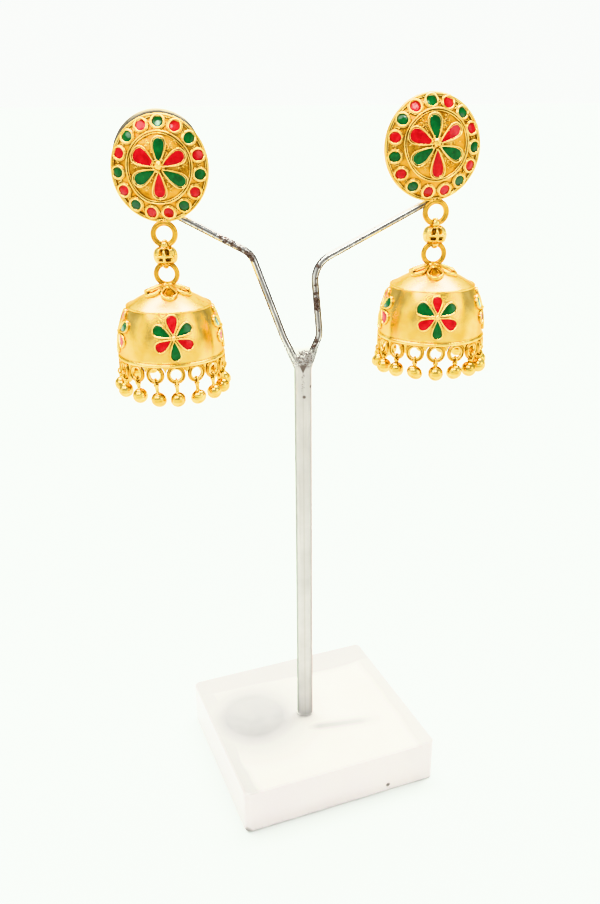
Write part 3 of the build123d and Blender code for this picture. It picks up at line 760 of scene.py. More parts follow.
def fill(form, x, y, surface, low, edge, crown, slot=0, rings=9):
    """Closed domed pool inside a convex outline; surface turns x, y and lift into points."""
    cx, cy = x.mean(), y.mean()
    steps = [(share, edge + crown * (1 - share**2.2)) for share in np.linspace(0.02, 1.0, rings)]
    steps += [(1.01, (edge + low) / 2), (0.99, low), (0.5, low), (0.02, low)]
    rows = [surface(cx + (x - cx) * share, cy + (y - cy) * share, lift) for share, lift in steps]
    form.add(np.stack(rows), grid_faces(len(rows), len(x)), slot)


def smear(form, x, y, surface, size, turn, slot=0):
    """A thin stray lick of enamel on the metal."""
    angle = turns(18)
    u, v = rotated(size * np.cos(angle) * (1 + 0.25 * np.sin(3 * angle)),
                   0.42 * size * np.sin(angle) * (1 + 0.3 * np.cos(2 * angle)), turn)
    fill(form, x + u, y + v, surface, -0.05, 0.04, 0.05, slot, rings=4)


def make_fill(pools, part, shade, body):
    """Writes the enamel of one colour on a stud or a bell."""
    pools.make(f"{part}_{shade}_fill", body, [ENAMELS[shade]], [f"{part}_{shade}_enamel"],
               f"{shade}_enamel")


def dot_place(side, index):
    """Centre of a dot, counted clockwise from the top."""
    angle = math.radians(90 - index * 360 / DOT_COUNT)
    return oval(HALF_WIDTH * DOT_SHARE, HALF_HEIGHT * DOT_SHARE, angle, *side["dots"])


def stud_petal(side, inset, trim, turn):
    """Outline of one petal of the stud, drawn in from its tip and from its sides."""
    long, broad = side["petals"][turn]
    x, y = petal_outline(PETAL_START + inset, PETAL_LENGTH * long - inset - trim,
                         PETAL_WIDTH / 2 * broad - trim, turn, count=70)
    return x + side["bloom"][0], y + side["bloom"][1] - PETAL_DROP


# Rounded edge of the stud: share of its outline and height over its back
EDGE_ROWS = ((0.995, 0.45), (0.99, 0.2), (0.975, 0.06), (0.95, 0.0))
BACK_DISH = 0.12
BACK_RIPPLE = 0.02
# Relief of the dome: lumps and grains inside the ring, lumps and a hollow outside it
INNER_LUMPS = 0.06
INNER_GRAINS = 0.085
OUTER_LUMPS = 0.03
OUTER_HOLLOW = 0.1


def stud_body(form, plane, side, rng):
    """Domed sheet with its granulated middle, the plain back plate and the edge between."""
    around = 160
    angle = turns(around)
    shares = np.concatenate((np.linspace(0.004, 0.64, 62), np.linspace(0.65, 0.985, 34)))
    x, y = oval(shares[:, None] * HALF_WIDTH, shares[:, None] * HALF_HEIGHT, angle)
    flat = np.stack((x, y, 0 * x), -1).reshape(-1, 3)
    seed = float(rng.uniform(0, 50))
    coarse = rough(flat, 0.9, seed).reshape(x.shape)
    grain = rough(flat, 0.34, seed + 7, 1).reshape(x.shape)
    ring_x, ring_y = side["inner_ring"]
    reach = np.hypot((x - ring_x) / HALF_WIDTH, (y - ring_y) / HALF_HEIGHT)
    inner = np.clip((RING_SHARE - reach) / 0.03, 0, 1)
    lift = inner * (INNER_LUMPS * coarse + INNER_GRAINS * np.abs(grain))
    lift = lift + (1 - inner) * OUTER_LUMPS * coarse
    channel = np.clip((shares[:, None] - RING_SHARE) / (1 - RING_SHARE), 0, 1)
    lift = lift - OUTER_HOLLOW * np.sin(math.pi * channel) * (1 - inner)
    rows = [dome_point(plane, x, y, lift)[0]]
    for share, z in EDGE_ROWS:
        x, y = oval(share * HALF_WIDTH, share * HALF_HEIGHT, angle)
        rows.append(plane.at(x, y, z)[None])
    for share in np.linspace(0.93, 0.02, 16):
        x, y = oval(share * HALF_WIDTH, share * HALF_HEIGHT, angle)
        dish = BACK_DISH * min(1.0, (0.95 - share) / 0.06)
        ripple = BACK_RIPPLE * np.sin(0.9 * x + 0.6 * y + seed)
        rows.append(plane.at(x, y, dish + ripple)[None])
    points = np.concatenate(rows)
    top = len(shares)
    faces = grid_faces(len(points), around)
    form.add(points[:top + 1], faces[: top * around], GROUNDWORK)
    form.add(points[top:], grid_faces(len(points) - top, around), SHEET)


# Wires on the stud, ending in half width and height. Before those, the rim's have their inset
# from the edge, the inner ring's their shift outward from its line, the collets' their
# radius, and the petal cells' their inset at the tip and trim at the sides.
RIM_WIRES = ((0.39, 0.24, 0.42), (0.74, 0.12, 0.2))
INNER_WIRES = ((0.06, 0.2, 0.46), (-0.34, 0.15, 0.26))
COLLET_WIRES = ((1.29, 0.25, 0.48), (1.56, 0.1, 0.2))
CELL_WIRES = ((0.12, 0.2, 0.2, 0.5), (0.2, 0.5, 0.09, 0.34))
GRANULE_RADIUS = 1.0
POOL_INSET = 0.34
POOL_TRIM = 0.39
DOT_POOL_RADIUS = 1.05
SMEAR_REACH = 1.55


def soldered(form, plane, x, y, lift, wide, high, closed, sides):
    """A wire laid on the dome along x and y."""
    path, normal = dome_point(plane, x, y, lift)
    tube(form, path, normal, wide, high, closed, sides, WIREWORK)


def stud_rings(form, plane, side, rng):
    """Rim wires and the uneven ring round the flower."""
    angle = turns(168)
    for inset, wide, high in RIM_WIRES:
        x, y = oval(HALF_WIDTH - inset, HALF_HEIGHT - inset, angle)
        soldered(form, plane, x, y, 0.14, wide, high, True, 12)
    wave = 0.05 * np.sin(3 * angle + rng.uniform(0, 6)) + 0.04 * np.sin(5 * angle)
    for shift, wide, high in INNER_WIRES:
        x, y = oval(HALF_WIDTH * RING_SHARE + shift + wave,
                    HALF_HEIGHT * RING_SHARE + shift + wave, angle, *side["inner_ring"])
        soldered(form, plane, x, y, 0.12, wide, high, True, 10)


def stud_collets(form, plane, side, rng):
    """Collet round each dot, with a scrap of bent wire between it and the next."""
    loop = turns(40)
    for index in range(DOT_COUNT):
        cx, cy = dot_place(side, index)
        squash = rng.uniform(0.96, 1.04)
        for size, wide, high in COLLET_WIRES:
            size = size + rng.uniform(-0.02, 0.02)
            x, y = oval(size * squash, size / squash, loop, cx, cy)
            uneven = wide + 0.015 * np.sin(2 * loop + index)
            soldered(form, plane, x, y, 0.14, uneven, high, True, 10)
        cx, cy = dot_place(side, index + 0.5)
        t = np.linspace(-1, 1, 10)
        swing = math.atan2(cy, cx) + rng.uniform(-0.5, 0.5)
        x = cx + 0.42 * t * math.cos(swing) + 0.12 * np.cos(4 * t)
        y = cy + 0.42 * t * math.sin(swing) + 0.12 * np.sin(4 * t)
        soldered(form, plane, x, y, 0.02, 0.1, 0.14, False, 8)


def stud_granules(form, plane, side, rng):
    """Lumpy granule in the middle of the flower, curls round it and grains between petals."""
    bloom_x, bloom_y = side["bloom"]
    crown = plane.moved(bloom_x, bloom_y, DOME_TOP + 0.2)
    seed = float(rng.uniform(0, 20))

    def lumpy(radius, height, around):
        grid = np.stack((radius * np.cos(around), radius * np.sin(around), height), -1)
        bump = rough(grid.reshape(-1, 3), 0.5, seed).reshape(radius.shape)
        return radius * (1 + 0.16 * bump), height * (1 + 0.1 * bump)

    lathe(form, crown, ball_profile(GRANULE_RADIUS, 22), 40, WIREWORK, lumpy)
    for _ in range(16):
        turn = rng.uniform(0, TAU)
        reach = rng.uniform(0.75, 1.2)
        t = np.linspace(0, 1, 12)
        bend = rng.uniform(-0.9, 0.9)
        x, y = circle(reach * (1 + 0.4 * t), turn + bend * t, bloom_x, bloom_y)
        soldered(form, plane, x, y, 0.2 + 0.25 * np.sin(math.pi * t), 0.12, 0.16, False, 8)
    for turn in (60, 120, 180, 240, 300, 0):
        for _ in range(16):
            reach = rng.uniform(2.4, 6.0)
            swing = math.radians(turn + rng.uniform(-12, 12) * 3.0 / reach)
            t = np.linspace(0, TAU * rng.uniform(0.4, 0.8), 9)
            size = rng.uniform(0.12, 0.26)
            phase = rng.uniform(0, TAU)
            x, y = circle(size, t + phase, *circle(reach, swing, bloom_x, bloom_y))
            soldered(form, plane, x, y, 0.05, 0.075, 0.11, False, 6)


def stud_wirework(form, plane, side, rng):
    """Rim, inner ring, collets, petal cells and granules soldered on the dome."""
    stud_rings(form, plane, side, rng)
    stud_collets(form, plane, side, rng)
    for turn in side["petals"]:
        for inset, trim, wide, high in CELL_WIRES:
            x, y = stud_petal(side, inset, trim, turn)
            soldered(form, plane, x, y, 0.13, wide, high, True, 10)
    stud_granules(form, plane, side, rng)


# Hanging ring of the stud. Columns: radius, half width, height, metal
STUD_HOOP = ((2.4, 0.5, 0.5, HOOPWORK), (2.73, 0.3, 0.52, HOOPWORK), (2.02, 0.24, 0.48, HOOPWORK))
SOLDER_DROP = 13.95
# Ear post, as radius and height over the stud's back
EAR_POST = ((1.3, 0.3), (1.25, 0.02), (0.8, -0.25), (0.5, -0.6), (0.45, -0.9), (0.45, -5.6),
            (0.4, -5.7), (0.34, -5.85), (0.4, -6.0), (0.45, -6.1), (0.45, -6.85),
            (0.38, -7.05), (0.2, -7.17), (0.01, -7.2))


def stud_hardware(form, back, sideways):
    """Hanging ring with its solder, and the ear post on the back."""
    hang = back.moved(sideways, -STUD_RING_DROP, STUD_RING_DEPTH)
    hoop(form, hang, STUD_HOOP, 72, 14, 1.0)
    for spot in (-0.9, 0.0, 0.9):
        blob = back.moved(sideways + spot, -SOLDER_DROP, 0.75)
        lathe(form, blob, ball_profile(0.62, 14), 24, POLISHED)
    lathe(form, back, EAR_POST, 28, POLISHED)


def stud_pools(pools, plane, side, rng, first, shade):
    """Enamel of one colour: three petals, its dots, and a smear beside some of them."""

    def surface(x, y, lift):
        return dome_point(plane, x, y, lift)[0]

    loop = turns(36)
    for turn in range(first, 360, 120):
        x, y = stud_petal(side, POOL_INSET, POOL_TRIM, turn)
        fill(pools, x, y, surface, -0.12, 0.3, rng.uniform(0.0, 0.1))
    for index in range(DOT_COUNT):
        if (index in GREEN_DOTS) != (shade == "green"):
            continue
        cx, cy = dot_place(side, index)
        size = DOT_POOL_RADIUS + rng.uniform(-0.02, 0.02)
        x, y = circle(size, loop, cx, cy)
        fill(pools, x, y, surface, -0.15, 0.26, rng.uniform(0.04, 0.1), rings=7)
        if rng.uniform() < 0.45:
            turn = rng.uniform(0, 360)
            x, y = circle(SMEAR_REACH, math.radians(turn), cx, cy)
            smear(pools, x, y, surface, rng.uniform(0.2, 0.34), turn + 90)


def make_stud(name, side):
    """One stud: its metal, and its enamel as one piece of each colour."""
    rng = np.random.default_rng(side["seed"])
    back = stud_plane(side)
    plane = back.moved(0, -CENTRE_DROP, 0)
    form = Form()
    stud_body(form, plane, side, rng)
    stud_wirework(form, plane, side, rng)
    stud_hardware(form, back, side["ring_x"])
    form.make(f"{name}_stud_metal", "root", GOLDS, [f"{name}_stud"], "gold")
    for shade, first in (("red", 30), ("green", 90)):
        pools = Form()
        stud_pools(pools, plane, side, rng, first, shade)
        make_fill(pools, f"{name}_stud", shade, "root")


# ---------------------------------------------------------------- nut and link
# Plain flanged nut, as radius and height from its front face
NUT = ((0.5, -0.02), (2.75, 0.0), (2.95, -0.12), (3.0, -0.4), (2.93, -0.68), (2.7, -0.8),
       (1.9, -0.84), (1.66, -0.98), (1.6, -1.2), (1.6, -1.9), (1.52, -2.1), (1.56, -2.25),
       (1.5, -2.5), (1.3, -2.6), (0.5, -2.6), (0.5, -0.02))
NUT_FACE = -1.8
# Bead of the link and the straps above and below it
BEAD_HALF = 2.15
BEAD_RADIUS = 2.62
BEAD_WIDEST = 2.68
BEAD_AROUND = 144
STRAP_RADIUS = 1.02


def make_nut(name, side):
    """Flanged nut with a knurled neck, on the ear post."""
    face = stud_plane(side).moved(z=NUT_FACE)
    form = Form()

    def knurled(radius, height, angle):
        grip = np.clip(1 - np.abs(height + 1.55) / 0.5, 0, 1) * (radius > 1.4)
        return radius - 0.05 * grip * (1 + np.cos(24 * angle)) / 2, height

    lathe(form, face, NUT, 96, 0, knurled)
    form.make(f"{name}_nut", "root", [BRIGHT], [f"{name}_post_nut"], "gold")


def notched(angle, share):
    """Up to 1 in the bead's four notches a face, cut in and painted dark as painted shade; share is
    its height, -1 to 1.
    """
    turn = (angle + math.pi / 2) % math.pi
    turn = np.minimum(turn, math.pi - turn)
    spread = np.radians(24) * (1 - 0.3 * np.clip(share, 0, 1))
    above = peak(turn - spread, 0.2, 4) * peak(share - 0.46, 0.28, 4)
    return above + peak(turn - spread, 0.27, 4) * peak(share + 0.3, 0.15, 4)


def ribbed(size, height, angle):
    """The bead's ribs, the band round its middle and the cuts of its notches."""
    share = height / BEAD_HALF
    band = peak(share - 0.02, 0.12, 4)
    rib = 0.06 * np.cos(12 * angle)[None, :] * (1 - share**2)
    cut = notched(angle[None, :] + 0 * share, share)
    grown = size + rib * (1 - band) + 0.12 * band - 1.1 * cut
    return np.maximum(np.minimum(grown, BEAD_WIDEST), 0.01), height


def make_link(name, side):
    """Ribbed bead with an equator band, four notches a face painted dark as painted shade, and its
    two straps.
    """
    hang = hang_plane(side)
    upper, lower = side["spacing"] - 2.4, 2.35
    middle = (upper + lower) / 2 - 0.3
    form = Form()
    z = np.sin(np.linspace(-1, 1, 90) * math.pi / 2) * BEAD_HALF
    radius = BEAD_RADIUS * np.maximum(1 - np.abs(z / BEAD_HALF) ** 2.7, 0) ** 0.42
    profile = np.stack((np.maximum(radius, 0.01), z), -1)
    # Faces in the notches take the dark recess gold: painted shade.
    dark = notched(turns(BEAD_AROUND)[None, :], profile[:-1, 1:] / BEAD_HALF) > 0.45
    lathe(form, hang.moved(z=middle), profile, BEAD_AROUND, dark.ravel().astype(int), ribbed)
    angle = turns(48)[:, None]
    for height, sign in ((upper, -1), (lower, 1)):
        outward = np.cos(angle) * STRAP_RADIUS * hang.y + np.sin(angle) * STRAP_RADIUS * UP
        toward = np.clip(0.5 + 0.5 * sign * np.sin(angle[:, 0]), 0, 1)
        wide = 0.5 + 0.62 * toward**1.6
        tube(form, hang.moved(z=height).o + outward, outward, wide, 0.17, True, 16, 0)
    form.make(f"{name}_link_bead", f"{name}_link", [PLATE, RECESS], [f"{name}_link"], "gold")


# ---------------------------------------------------------------- bell
def arc_between(a, b, bulge, count):
    """Shallow arc from a to b, bulging to the left of the way there if bulge is positive."""
    a, b = np.array(a, float), np.array(b, float)
    t = np.linspace(0, 1, count)[:, None]
    chord = b - a
    normal = np.array((-chord[1], chord[0])) / np.linalg.norm(chord)
    return a + chord * t + normal * (bulge * 4 * t * (1 - t))


def crown_height(radius):
    """Height of the crown's outside at a radius from the bell's axis."""
    curve = arc_between((0, CROWN_Z), (SHOULDER_R, SHOULDER_Z), CROWN_BULGE, 40)
    return np.interp(radius, curve[:, 0], curve[:, 1])


def crown_point(hang, x, y, lift):
    """Points on the crown, lifted off it."""
    return hang.at(x, y, crown_height(np.hypot(x, y)) + lift)


def band_radius(height):
    """Radius of the band's outside at a height."""
    curve = arc_between((SHOULDER_R, SHOULDER_Z), (RIM_R, RIM_Z), BAND_BULGE, 40)
    return np.interp(-height, -curve[:, 1], curve[:, 0])


def band_point(side, azimuth, u, v, lift):
    """Points on the band u round it and v above the flower's centre, lifted off it."""
    hang = hang_plane(side)
    z = FLOWER_Z + v
    radius = band_radius(z)
    angle = math.radians(azimuth) + np.arcsin(u / radius)
    radius = radius + lift
    return (hang.o + (radius * np.sin(angle))[..., None] * hang.x
            - (radius * np.cos(angle))[..., None] * hang.y + z[..., None] * UP)


def band_normal(side, azimuth, u):
    """Roughly outward from the band, u round it from an azimuth."""
    hang = hang_plane(side)
    angle = math.radians(azimuth) + np.arcsin(u / BAND_MIDDLE_R)
    return np.sin(angle)[..., None] * hang.x - np.cos(angle)[..., None] * hang.y + 0.1 * UP


# Beads round the bell. Columns: height, radius, half width, height of section, sides, metal
BELL_BEADS = (
    (SHOULDER_Z - 0.02, SHOULDER_R, 0.24, 0.24, 12, WIREWORK),
    (RIM_Z, RIM_R - 0.03, 0.46, 0.46, 14, WIREWORK),
    (RIM_Z + 0.66, RIM_R - 0.1, 0.16, 0.14, 10, POLISHED),
)
# Rings. Columns: radius, half width, height, metal
CAP_HOOP = ((2.35, 0.45, 0.46, HOOPWORK), (2.65, 0.28, 0.48, HOOPWORK), (2.0, 0.23, 0.44, HOOPWORK))
LOOP_HOOP = ((LOOP_MAJOR, 0.4, 0.2, HOOPWORK), (1.93, 0.22, 0.4, HOOPWORK),
             (1.37, 0.19, 0.38, WIREWORK))
# Boss under the cap's ring, as radius and rise over the crown's top
CAP_BOSS = ((0.02, 0.75), (0.9, 0.66), (1.5, 0.3), (1.9, -0.15), (2.0, -0.5))
# Petals of the cap. Columns: inset, lift, point, half width, height, sides, metal
CAP_WIRES = ((0.24, 0.32, 0.35, 0.31, 0.5, 12, WIREWORK), (1.0, 0.06, 0.1, 0.17, 0.3, 8, HOOPWORK))
CAP_PETAL = 4.75
CAP_FRONT_PETAL = 5.35
CAP_PETAL_START = 0.7
CAP_PETAL_HALF = 1.9
# Solder that narrows downwards between two loops
GUSSET_TOP = 0.25
GUSSET_FOOT = -1.2
# Petals of a bell's flower
BLOOM_LENGTH = 4.45
BLOOM_HALF = 1.4
BAND_MIDDLE_R = 11.4


def bell_shell(form, side, rng):
    """Hollow shell: crown, band and inside, with the waviness of hand-raised sheet."""
    hang = hang_plane(side)
    crown = arc_between((0.02, CROWN_Z), (SHOULDER_R, SHOULDER_Z), CROWN_BULGE, 30)
    band = arc_between((SHOULDER_R, SHOULDER_Z), (RIM_R, RIM_Z), BAND_BULGE, 40)
    outside = np.concatenate((crown, band[1:]))
    inside = np.concatenate((
        arc_between((RIM_R - BELL_WALL, RIM_Z), (SHOULDER_R - BELL_WALL, SHOULDER_Z - 0.1),
                    -BAND_BULGE, 24),
        arc_between((SHOULDER_R - BELL_WALL, SHOULDER_Z - 0.45), (0.02, CROWN_Z - BELL_WALL),
                    -CROWN_BULGE, 24),
    ))
    profile = np.concatenate((outside, inside))
    phase = rng.uniform(0, 6, 4)

    def wavy(radius, height, angle):
        drop = (SHOULDER_Z - height) / (SHOULDER_Z - RIM_Z)
        swell = np.clip(drop, 0, 1) * np.clip(1 - drop, 0, 1) * 4
        wave = (0.035 * np.sin(4 * angle + phase[0] + 0.3 * height)
                + 0.022 * np.sin(7 * angle + phase[1] - 0.5 * height)
                + 0.012 * np.sin(13 * angle + phase[2] + 0.8 * height))
        return radius + wave * swell - 0.02 * swell, height

    # The crown takes the paler crown gold: painted highlight.
    metal = np.where(np.arange(len(profile) - 1) < len(crown) - 1, CROWNWORK, SHEET)
    around = 176
    lathe(form, hang, profile, around, np.repeat(metal, around), wavy)
    for height, radius, wide, high, sides, slot in BELL_BEADS:
        ring(form, hang.moved(z=height), radius, wide, around, sides, slot, high=high)


def bell_cap(form, side):
    """Ring on the crown, with six open petals spread round it."""
    hang = hang_plane(side)
    arm = arm_plane(side)
    upright = Plane(hang.o, arm.x, arm.z)
    hoop(form, upright, CAP_HOOP, 72, 14, 2.0)
    lathe(form, hang, [(radius, CROWN_Z + rise) for radius, rise in CAP_BOSS], 40, POLISHED)
    for index in range(6):
        turn = side["facing"] - 90 + 60 * index
        length = CAP_FRONT_PETAL if index == 0 else CAP_PETAL
        for inset, lift, point, wide, high, sides, slot in CAP_WIRES:
            x, y = petal_outline(CAP_PETAL_START + inset, length - 2 * inset,
                                 CAP_PETAL_HALF - inset, turn, point, 60)
            tube(form, crown_point(hang, x, y, lift), UP, wide, high, True, sides, slot)
        x, y = petal_outline(0.9, length - 0.5, 1.7, turn, 0.3, 48)
        # The cap petal floors take the darker hoop gold: painted shade.
        fill(form, x, y, partial(crown_point, hang), -0.15, 0.06, -0.02, HOOPWORK, rings=6)


def flower_places(side):
    """Azimuth and tilt of each flower on the band; the front one's tilt is a given one."""
    rng = np.random.default_rng(side["seed"] + 40)
    return [(side["facing"] + swing, rng.uniform(-5, 5) if swing else side["flower_tilt"])
            for swing in FLOWER_TURNS]


def bell_flowers(form, side):
    """Cells and middle granule of each flower on the band."""
    for azimuth, tilt in flower_places(side):
        for turn, (long, broad) in side["flower"].items():
            x, y = petal_outline(0.5, BLOOM_LENGTH * long - 0.25, BLOOM_HALF * broad - 0.18,
                                 turn + tilt, count=60)
            path = band_point(side, azimuth, x, y, 0.12)
            tube(form, path, band_normal(side, azimuth, x), 0.22, 0.36, True, 10, WIREWORK)
        seat = outward_plane(side, azimuth, band_radius(FLOWER_Z) + 0.12, FLOWER_Z)
        lathe(form, seat, ball_profile(0.6, 18), 30, WIREWORK)


def bell_loops(form, side, rng):
    """Sixteen loops soldered edge to edge under the rim, with solder between them."""
    step = 360 / LOOP_COUNT
    for index in range(LOOP_COUNT):
        azimuth = side["facing"] + index * step
        place = outward_plane(side, azimuth, LOOP_RING_R, LOOP_Z)
        seed = float(rng.uniform(0, 6))
        hoop(form, place, LOOP_HOOP, 44, 10, seed)
        joint = outward_plane(side, azimuth, LOOP_RING_R, RIM_Z - 0.1)
        x = np.linspace(-1.0, 1.0, 14)
        path = joint.at(x, 0.02 - 0.12 * x**2, 0)
        tube(form, path, joint.z, 0.42, 0.34, False, 12, POLISHED)
        gusset = outward_plane(side, azimuth + step / 2, LOOP_RING_R, RIM_Z - 0.2)
        y = np.linspace(GUSSET_TOP, GUSSET_FOOT, 12)
        share = (GUSSET_TOP - y) / (GUSSET_TOP - GUSSET_FOOT)
        path = gusset.at(0, y, 0)
        wide = 0.85 * (1 - share) ** 1.3 + 0.14
        tube(form, path, gusset.z, wide, 0.26 - 0.06 * share, False, 12, POLISHED)


def make_bell(name, side):
    """One bell: its metal, and its enamel as one piece of each colour."""
    rng = np.random.default_rng(side["seed"] + 20)
    form = Form()
    bell_shell(form, side, rng)
    bell_cap(form, side)
    bell_flowers(form, side)
    bell_loops(form, side, rng)
    form.make(f"{name}_bell_metal", f"{name}_bell", GOLDS, [f"{name}_bell"], "gold")
    for shade, first in (("red", 90), ("green", 30)):
        pools = Form()
        for azimuth, tilt in flower_places(side):
            surface = partial(band_point, side, azimuth)
            for turn in range(first, 360, 120):
                long, broad = side["flower"][turn]
                x, y = petal_outline(0.72, BLOOM_LENGTH * long - 0.6, BLOOM_HALF * broad - 0.3,
                                     turn + tilt, count=54)
                fill(pools, x, y, surface, -0.1, 0.2, rng.uniform(0.0, 0.08), rings=7)
        make_fill(pools, f"{name}_bell", shade, f"{name}_bell")


# Ball drops
EYE_RADIUS = 0.7
EYE_WIRE = 0.2
BALL_RADIUS = 1.68
SEAM_DEPTH = 0.08


def make_drop(name, side, index, rng):
    """Ball drop: an eye, a waisted stem and a ball with its seam."""
    azimuth = side["facing"] + index * 360 / LOOP_COUNT
    loop = outward_plane(side, azimuth, LOOP_RING_R, LOOP_Z)
    hook = loop.moved(y=-LOOP_MAJOR).rolled(side["leans"][index])
    form = Form()
    ring(form, Plane(hook.o, hook.z, hook.x), EYE_RADIUS, EYE_WIRE, 30, 10)
    reach = side["hangs"][index]
    down = Plane(hook.o, hook.x, -hook.y)
    waist = max(1.25, reach - 1.8)
    stem = [(0.02, 0.52), (0.55, 0.56), (0.66, 0.72), (0.56, 0.92), (0.42, 1.15),
            (0.36, waist), (0.44, waist + 0.12), (0.66, waist + 0.3), (0.02, waist + 0.6)]
    lathe(form, down, stem, 24)
    seam = Plane(hook.out((0, -reach, 0)), hook.x * math.cos(index) + hook.z * math.sin(index),
                 unit(hook.y + 0.35 * rng.uniform(-1, 1) * hook.x))

    def dented(radius, height, angle):
        dent = 0.02 * np.sin(2 * angle + index) * np.cos(height)
        return radius * (1 + dent / 2), height

    lathe(form, seam, ball_profile(BALL_RADIUS, 32, SEAM_DEPTH), 36, 0, dented)
    form.make(f"{name}_ball_{index + 1:02d}", f"{name}_bell", [BRIGHT],
              [f"{name}_drop_{index + 1:02d}"], "gold")


# ---------------------------------------------------------------- stand
# How much thicker the visual wire is than the CAD's, how deep rust pits it, and its step
WIRE_MORE = 0.05
RUST_PIT = 0.03
WIRE_STEP = 0.42


def arc(cx, cy, radius, t):
    """Points round a centre at the angles t."""
    return np.stack(circle(radius, t, cx, cy), -1)


def wire_path(side):
    """Centre line of one wire, as points along the arm and up, in the arm's plane."""
    outer, second, fourth = side["coils"]
    eye, sign = SPIRAL_EYE, side["sign"]
    lx, lz = side["loop"]
    third = second + fourth - (outer + eye - math.hypot(lx, lz)) / 2
    radii = (outer, second, third, fourth, eye)
    cx, cy = side["post_x"] + lx, side["post_z"] + lz
    bx, by, _ = side["bends"][-1]
    reach = math.hypot(cx - bx, cy - by)
    bearing = math.atan2(cy - by, cx - bx) - sign * math.asin(outer / reach)
    run = math.sqrt(reach**2 - outer**2)
    touch = (bx + run * math.cos(bearing), by + run * math.sin(bearing))
    corners = [(sign * WIRE_OFFSET, WIRE_FOOT)]
    corners += [(x, y) for x, y, _ in side["bends"]] + [touch]
    points = [np.array(corners[0])]
    for i in range(1, len(corners) - 1):
        before, here, after = (np.array(corners[k], float) for k in (i - 1, i, i + 1))
        radius = side["bends"][i - 1][2]
        a, b = unit(before - here), unit(after - here)
        half = math.acos(np.clip(a @ b, -1, 1)) / 2
        trim = radius / math.tan(half)
        start, stop = here + a * trim, here + b * trim
        centre = here + unit(a + b) * radius / math.sin(half)
        t0 = math.atan2(*(start - centre)[::-1])
        t1 = math.atan2(*(stop - centre)[::-1])
        turn = (t1 - t0 + math.pi) % TAU - math.pi
        t = np.linspace(t0, t0 + turn, 22)
        points.append(arc(centre[0], centre[1], radius, t))
    start = math.atan2(touch[1] - cy, touch[0] - cx)
    inward = math.atan2(-lz, -lx)
    first = sign * ((sign * (inward - start)) % TAU)
    t = np.linspace(start, start + first, 90)
    points.append(arc(cx, cy, outer, t))
    heading = inward
    for big, small in zip(radii, radii[1:]):
        cx += (big - small) * math.cos(heading)
        cy += (big - small) * math.sin(heading)
        sweep = math.radians(220 if small == eye else 180)
        t = np.linspace(heading, heading + sign * sweep, 40)[1:]
        points.append(arc(cx, cy, small, t))
        heading += math.pi
    line = np.concatenate([np.atleast_2d(p) for p in points])
    gaps = np.linalg.norm(np.diff(line, axis=0), axis=1)
    along = np.concatenate(([0], np.cumsum(gaps)))
    keep = np.concatenate(([True], gaps > 1e-6))
    even = np.linspace(0, along[-1], int(along[-1] / WIRE_STEP))
    return np.stack([np.interp(even, along[keep], line[keep, k]) for k in range(2)], -1)


def make_wire(name, side):
    """One bent wire of the stand, pitted where it has rusted."""
    arm = arm_plane(side)
    flat = wire_path(side)
    path = arm.at(flat[:, 0], flat[:, 1], 0)
    form = Form()
    pitted = rough(path, 1.3, side["seed"], 3)
    rust = np.zeros(len(path))
    for point, radius in RUST:
        gap = np.linalg.norm(path - np.array(point), axis=1)
        rust = np.maximum(rust, np.clip(1 - gap / radius, 0, 1))
    size = WIRE_RADIUS + WIRE_MORE + RUST_PIT * pitted * rust
    tube(form, path, arm.z, size, size, False, 20)
    form.make(f"{name}_arm", "root", [STEEL], [f"{name}_wire"], "stand_wire")


def obround(spread, radius, count=64):
    """Outline of two half circles spread apart, anticlockwise from the right."""
    angle = turns(count)
    x, y = circle(radius, angle)
    return x + np.sign(np.round(np.cos(angle), 6)) * spread / 2, y


# The web at the tubing's top, the fold across it, and the bead where the tubing meets the block
WEB_DIP = 0.5
WEB_LEAN = 0.35
WEB_PINCH = 0.45
FOLD_AT = np.array((-0.95, -2.08, 113.9))
FOOT_RADIUS = 1.3
FOOT_Z = 12.55


def make_sleeve():
    """Milky tube round both wires, opening into a web where they part."""
    form = Form()
    heights = [*np.linspace(WIRE_FOOT, FLARE_START, 60),
               *np.linspace(FLARE_START, FLARE_TOP, 16)[1:]]

    def layer(z, straight, top):
        share = max(0.0, (z - FLARE_START) / (FLARE_TOP - FLARE_START))
        spread = 2 * WIRE_OFFSET + share * (FLARE_SPREAD - 2 * WIRE_OFFSET)
        x, y = obround(spread, straight + share * (top - straight))
        dip = WEB_DIP * share**2 * (1 - np.clip(np.abs(x) / (FLARE_SPREAD / 2), 0, 1) ** 2)
        seam = 0.05 * peak(x, 0.12) * (y < 0)
        lean = share * WEB_LEAN * np.clip(0.5 + x / FLARE_SPREAD, 0, 1)
        y = y * (1 - WEB_PINCH * share * np.clip(1 - np.abs(x) / 2.0, 0, 1)) + seam + lean
        return np.stack((POST[0] + x + share * FLARE_SHIFT, POST[1] + y, z - dip), -1)

    rows = [layer(z, SLEEVE_RADIUS, FLARE_RADIUS) for z in heights]
    rows += [layer(z, SLEEVE_BORE, FLARE_BORE) for z in heights[::-1]]
    form.add(np.stack(rows), grid_faces(len(rows), 64, wrap_rows=True))
    fold = np.linspace(-1, 1, 16)
    offsets = np.stack((0.9 * fold, 0.06 * fold**2, -0.1 * fold**2), -1)
    tube(form, FOLD_AT + offsets, FRONT, 0.14, 0.1, False, 10)
    x, y = obround(2 * WIRE_OFFSET, FOOT_RADIUS, 64)
    foot = np.stack((POST[0] + x, POST[1] + y, 0 * x + FOOT_Z), -1)
    tube(form, foot, UP, 0.2, 0.14, True, 10)
    form.make("post_tubing", "root", [TUBING], ["post_sleeve"], "milky_sleeve")


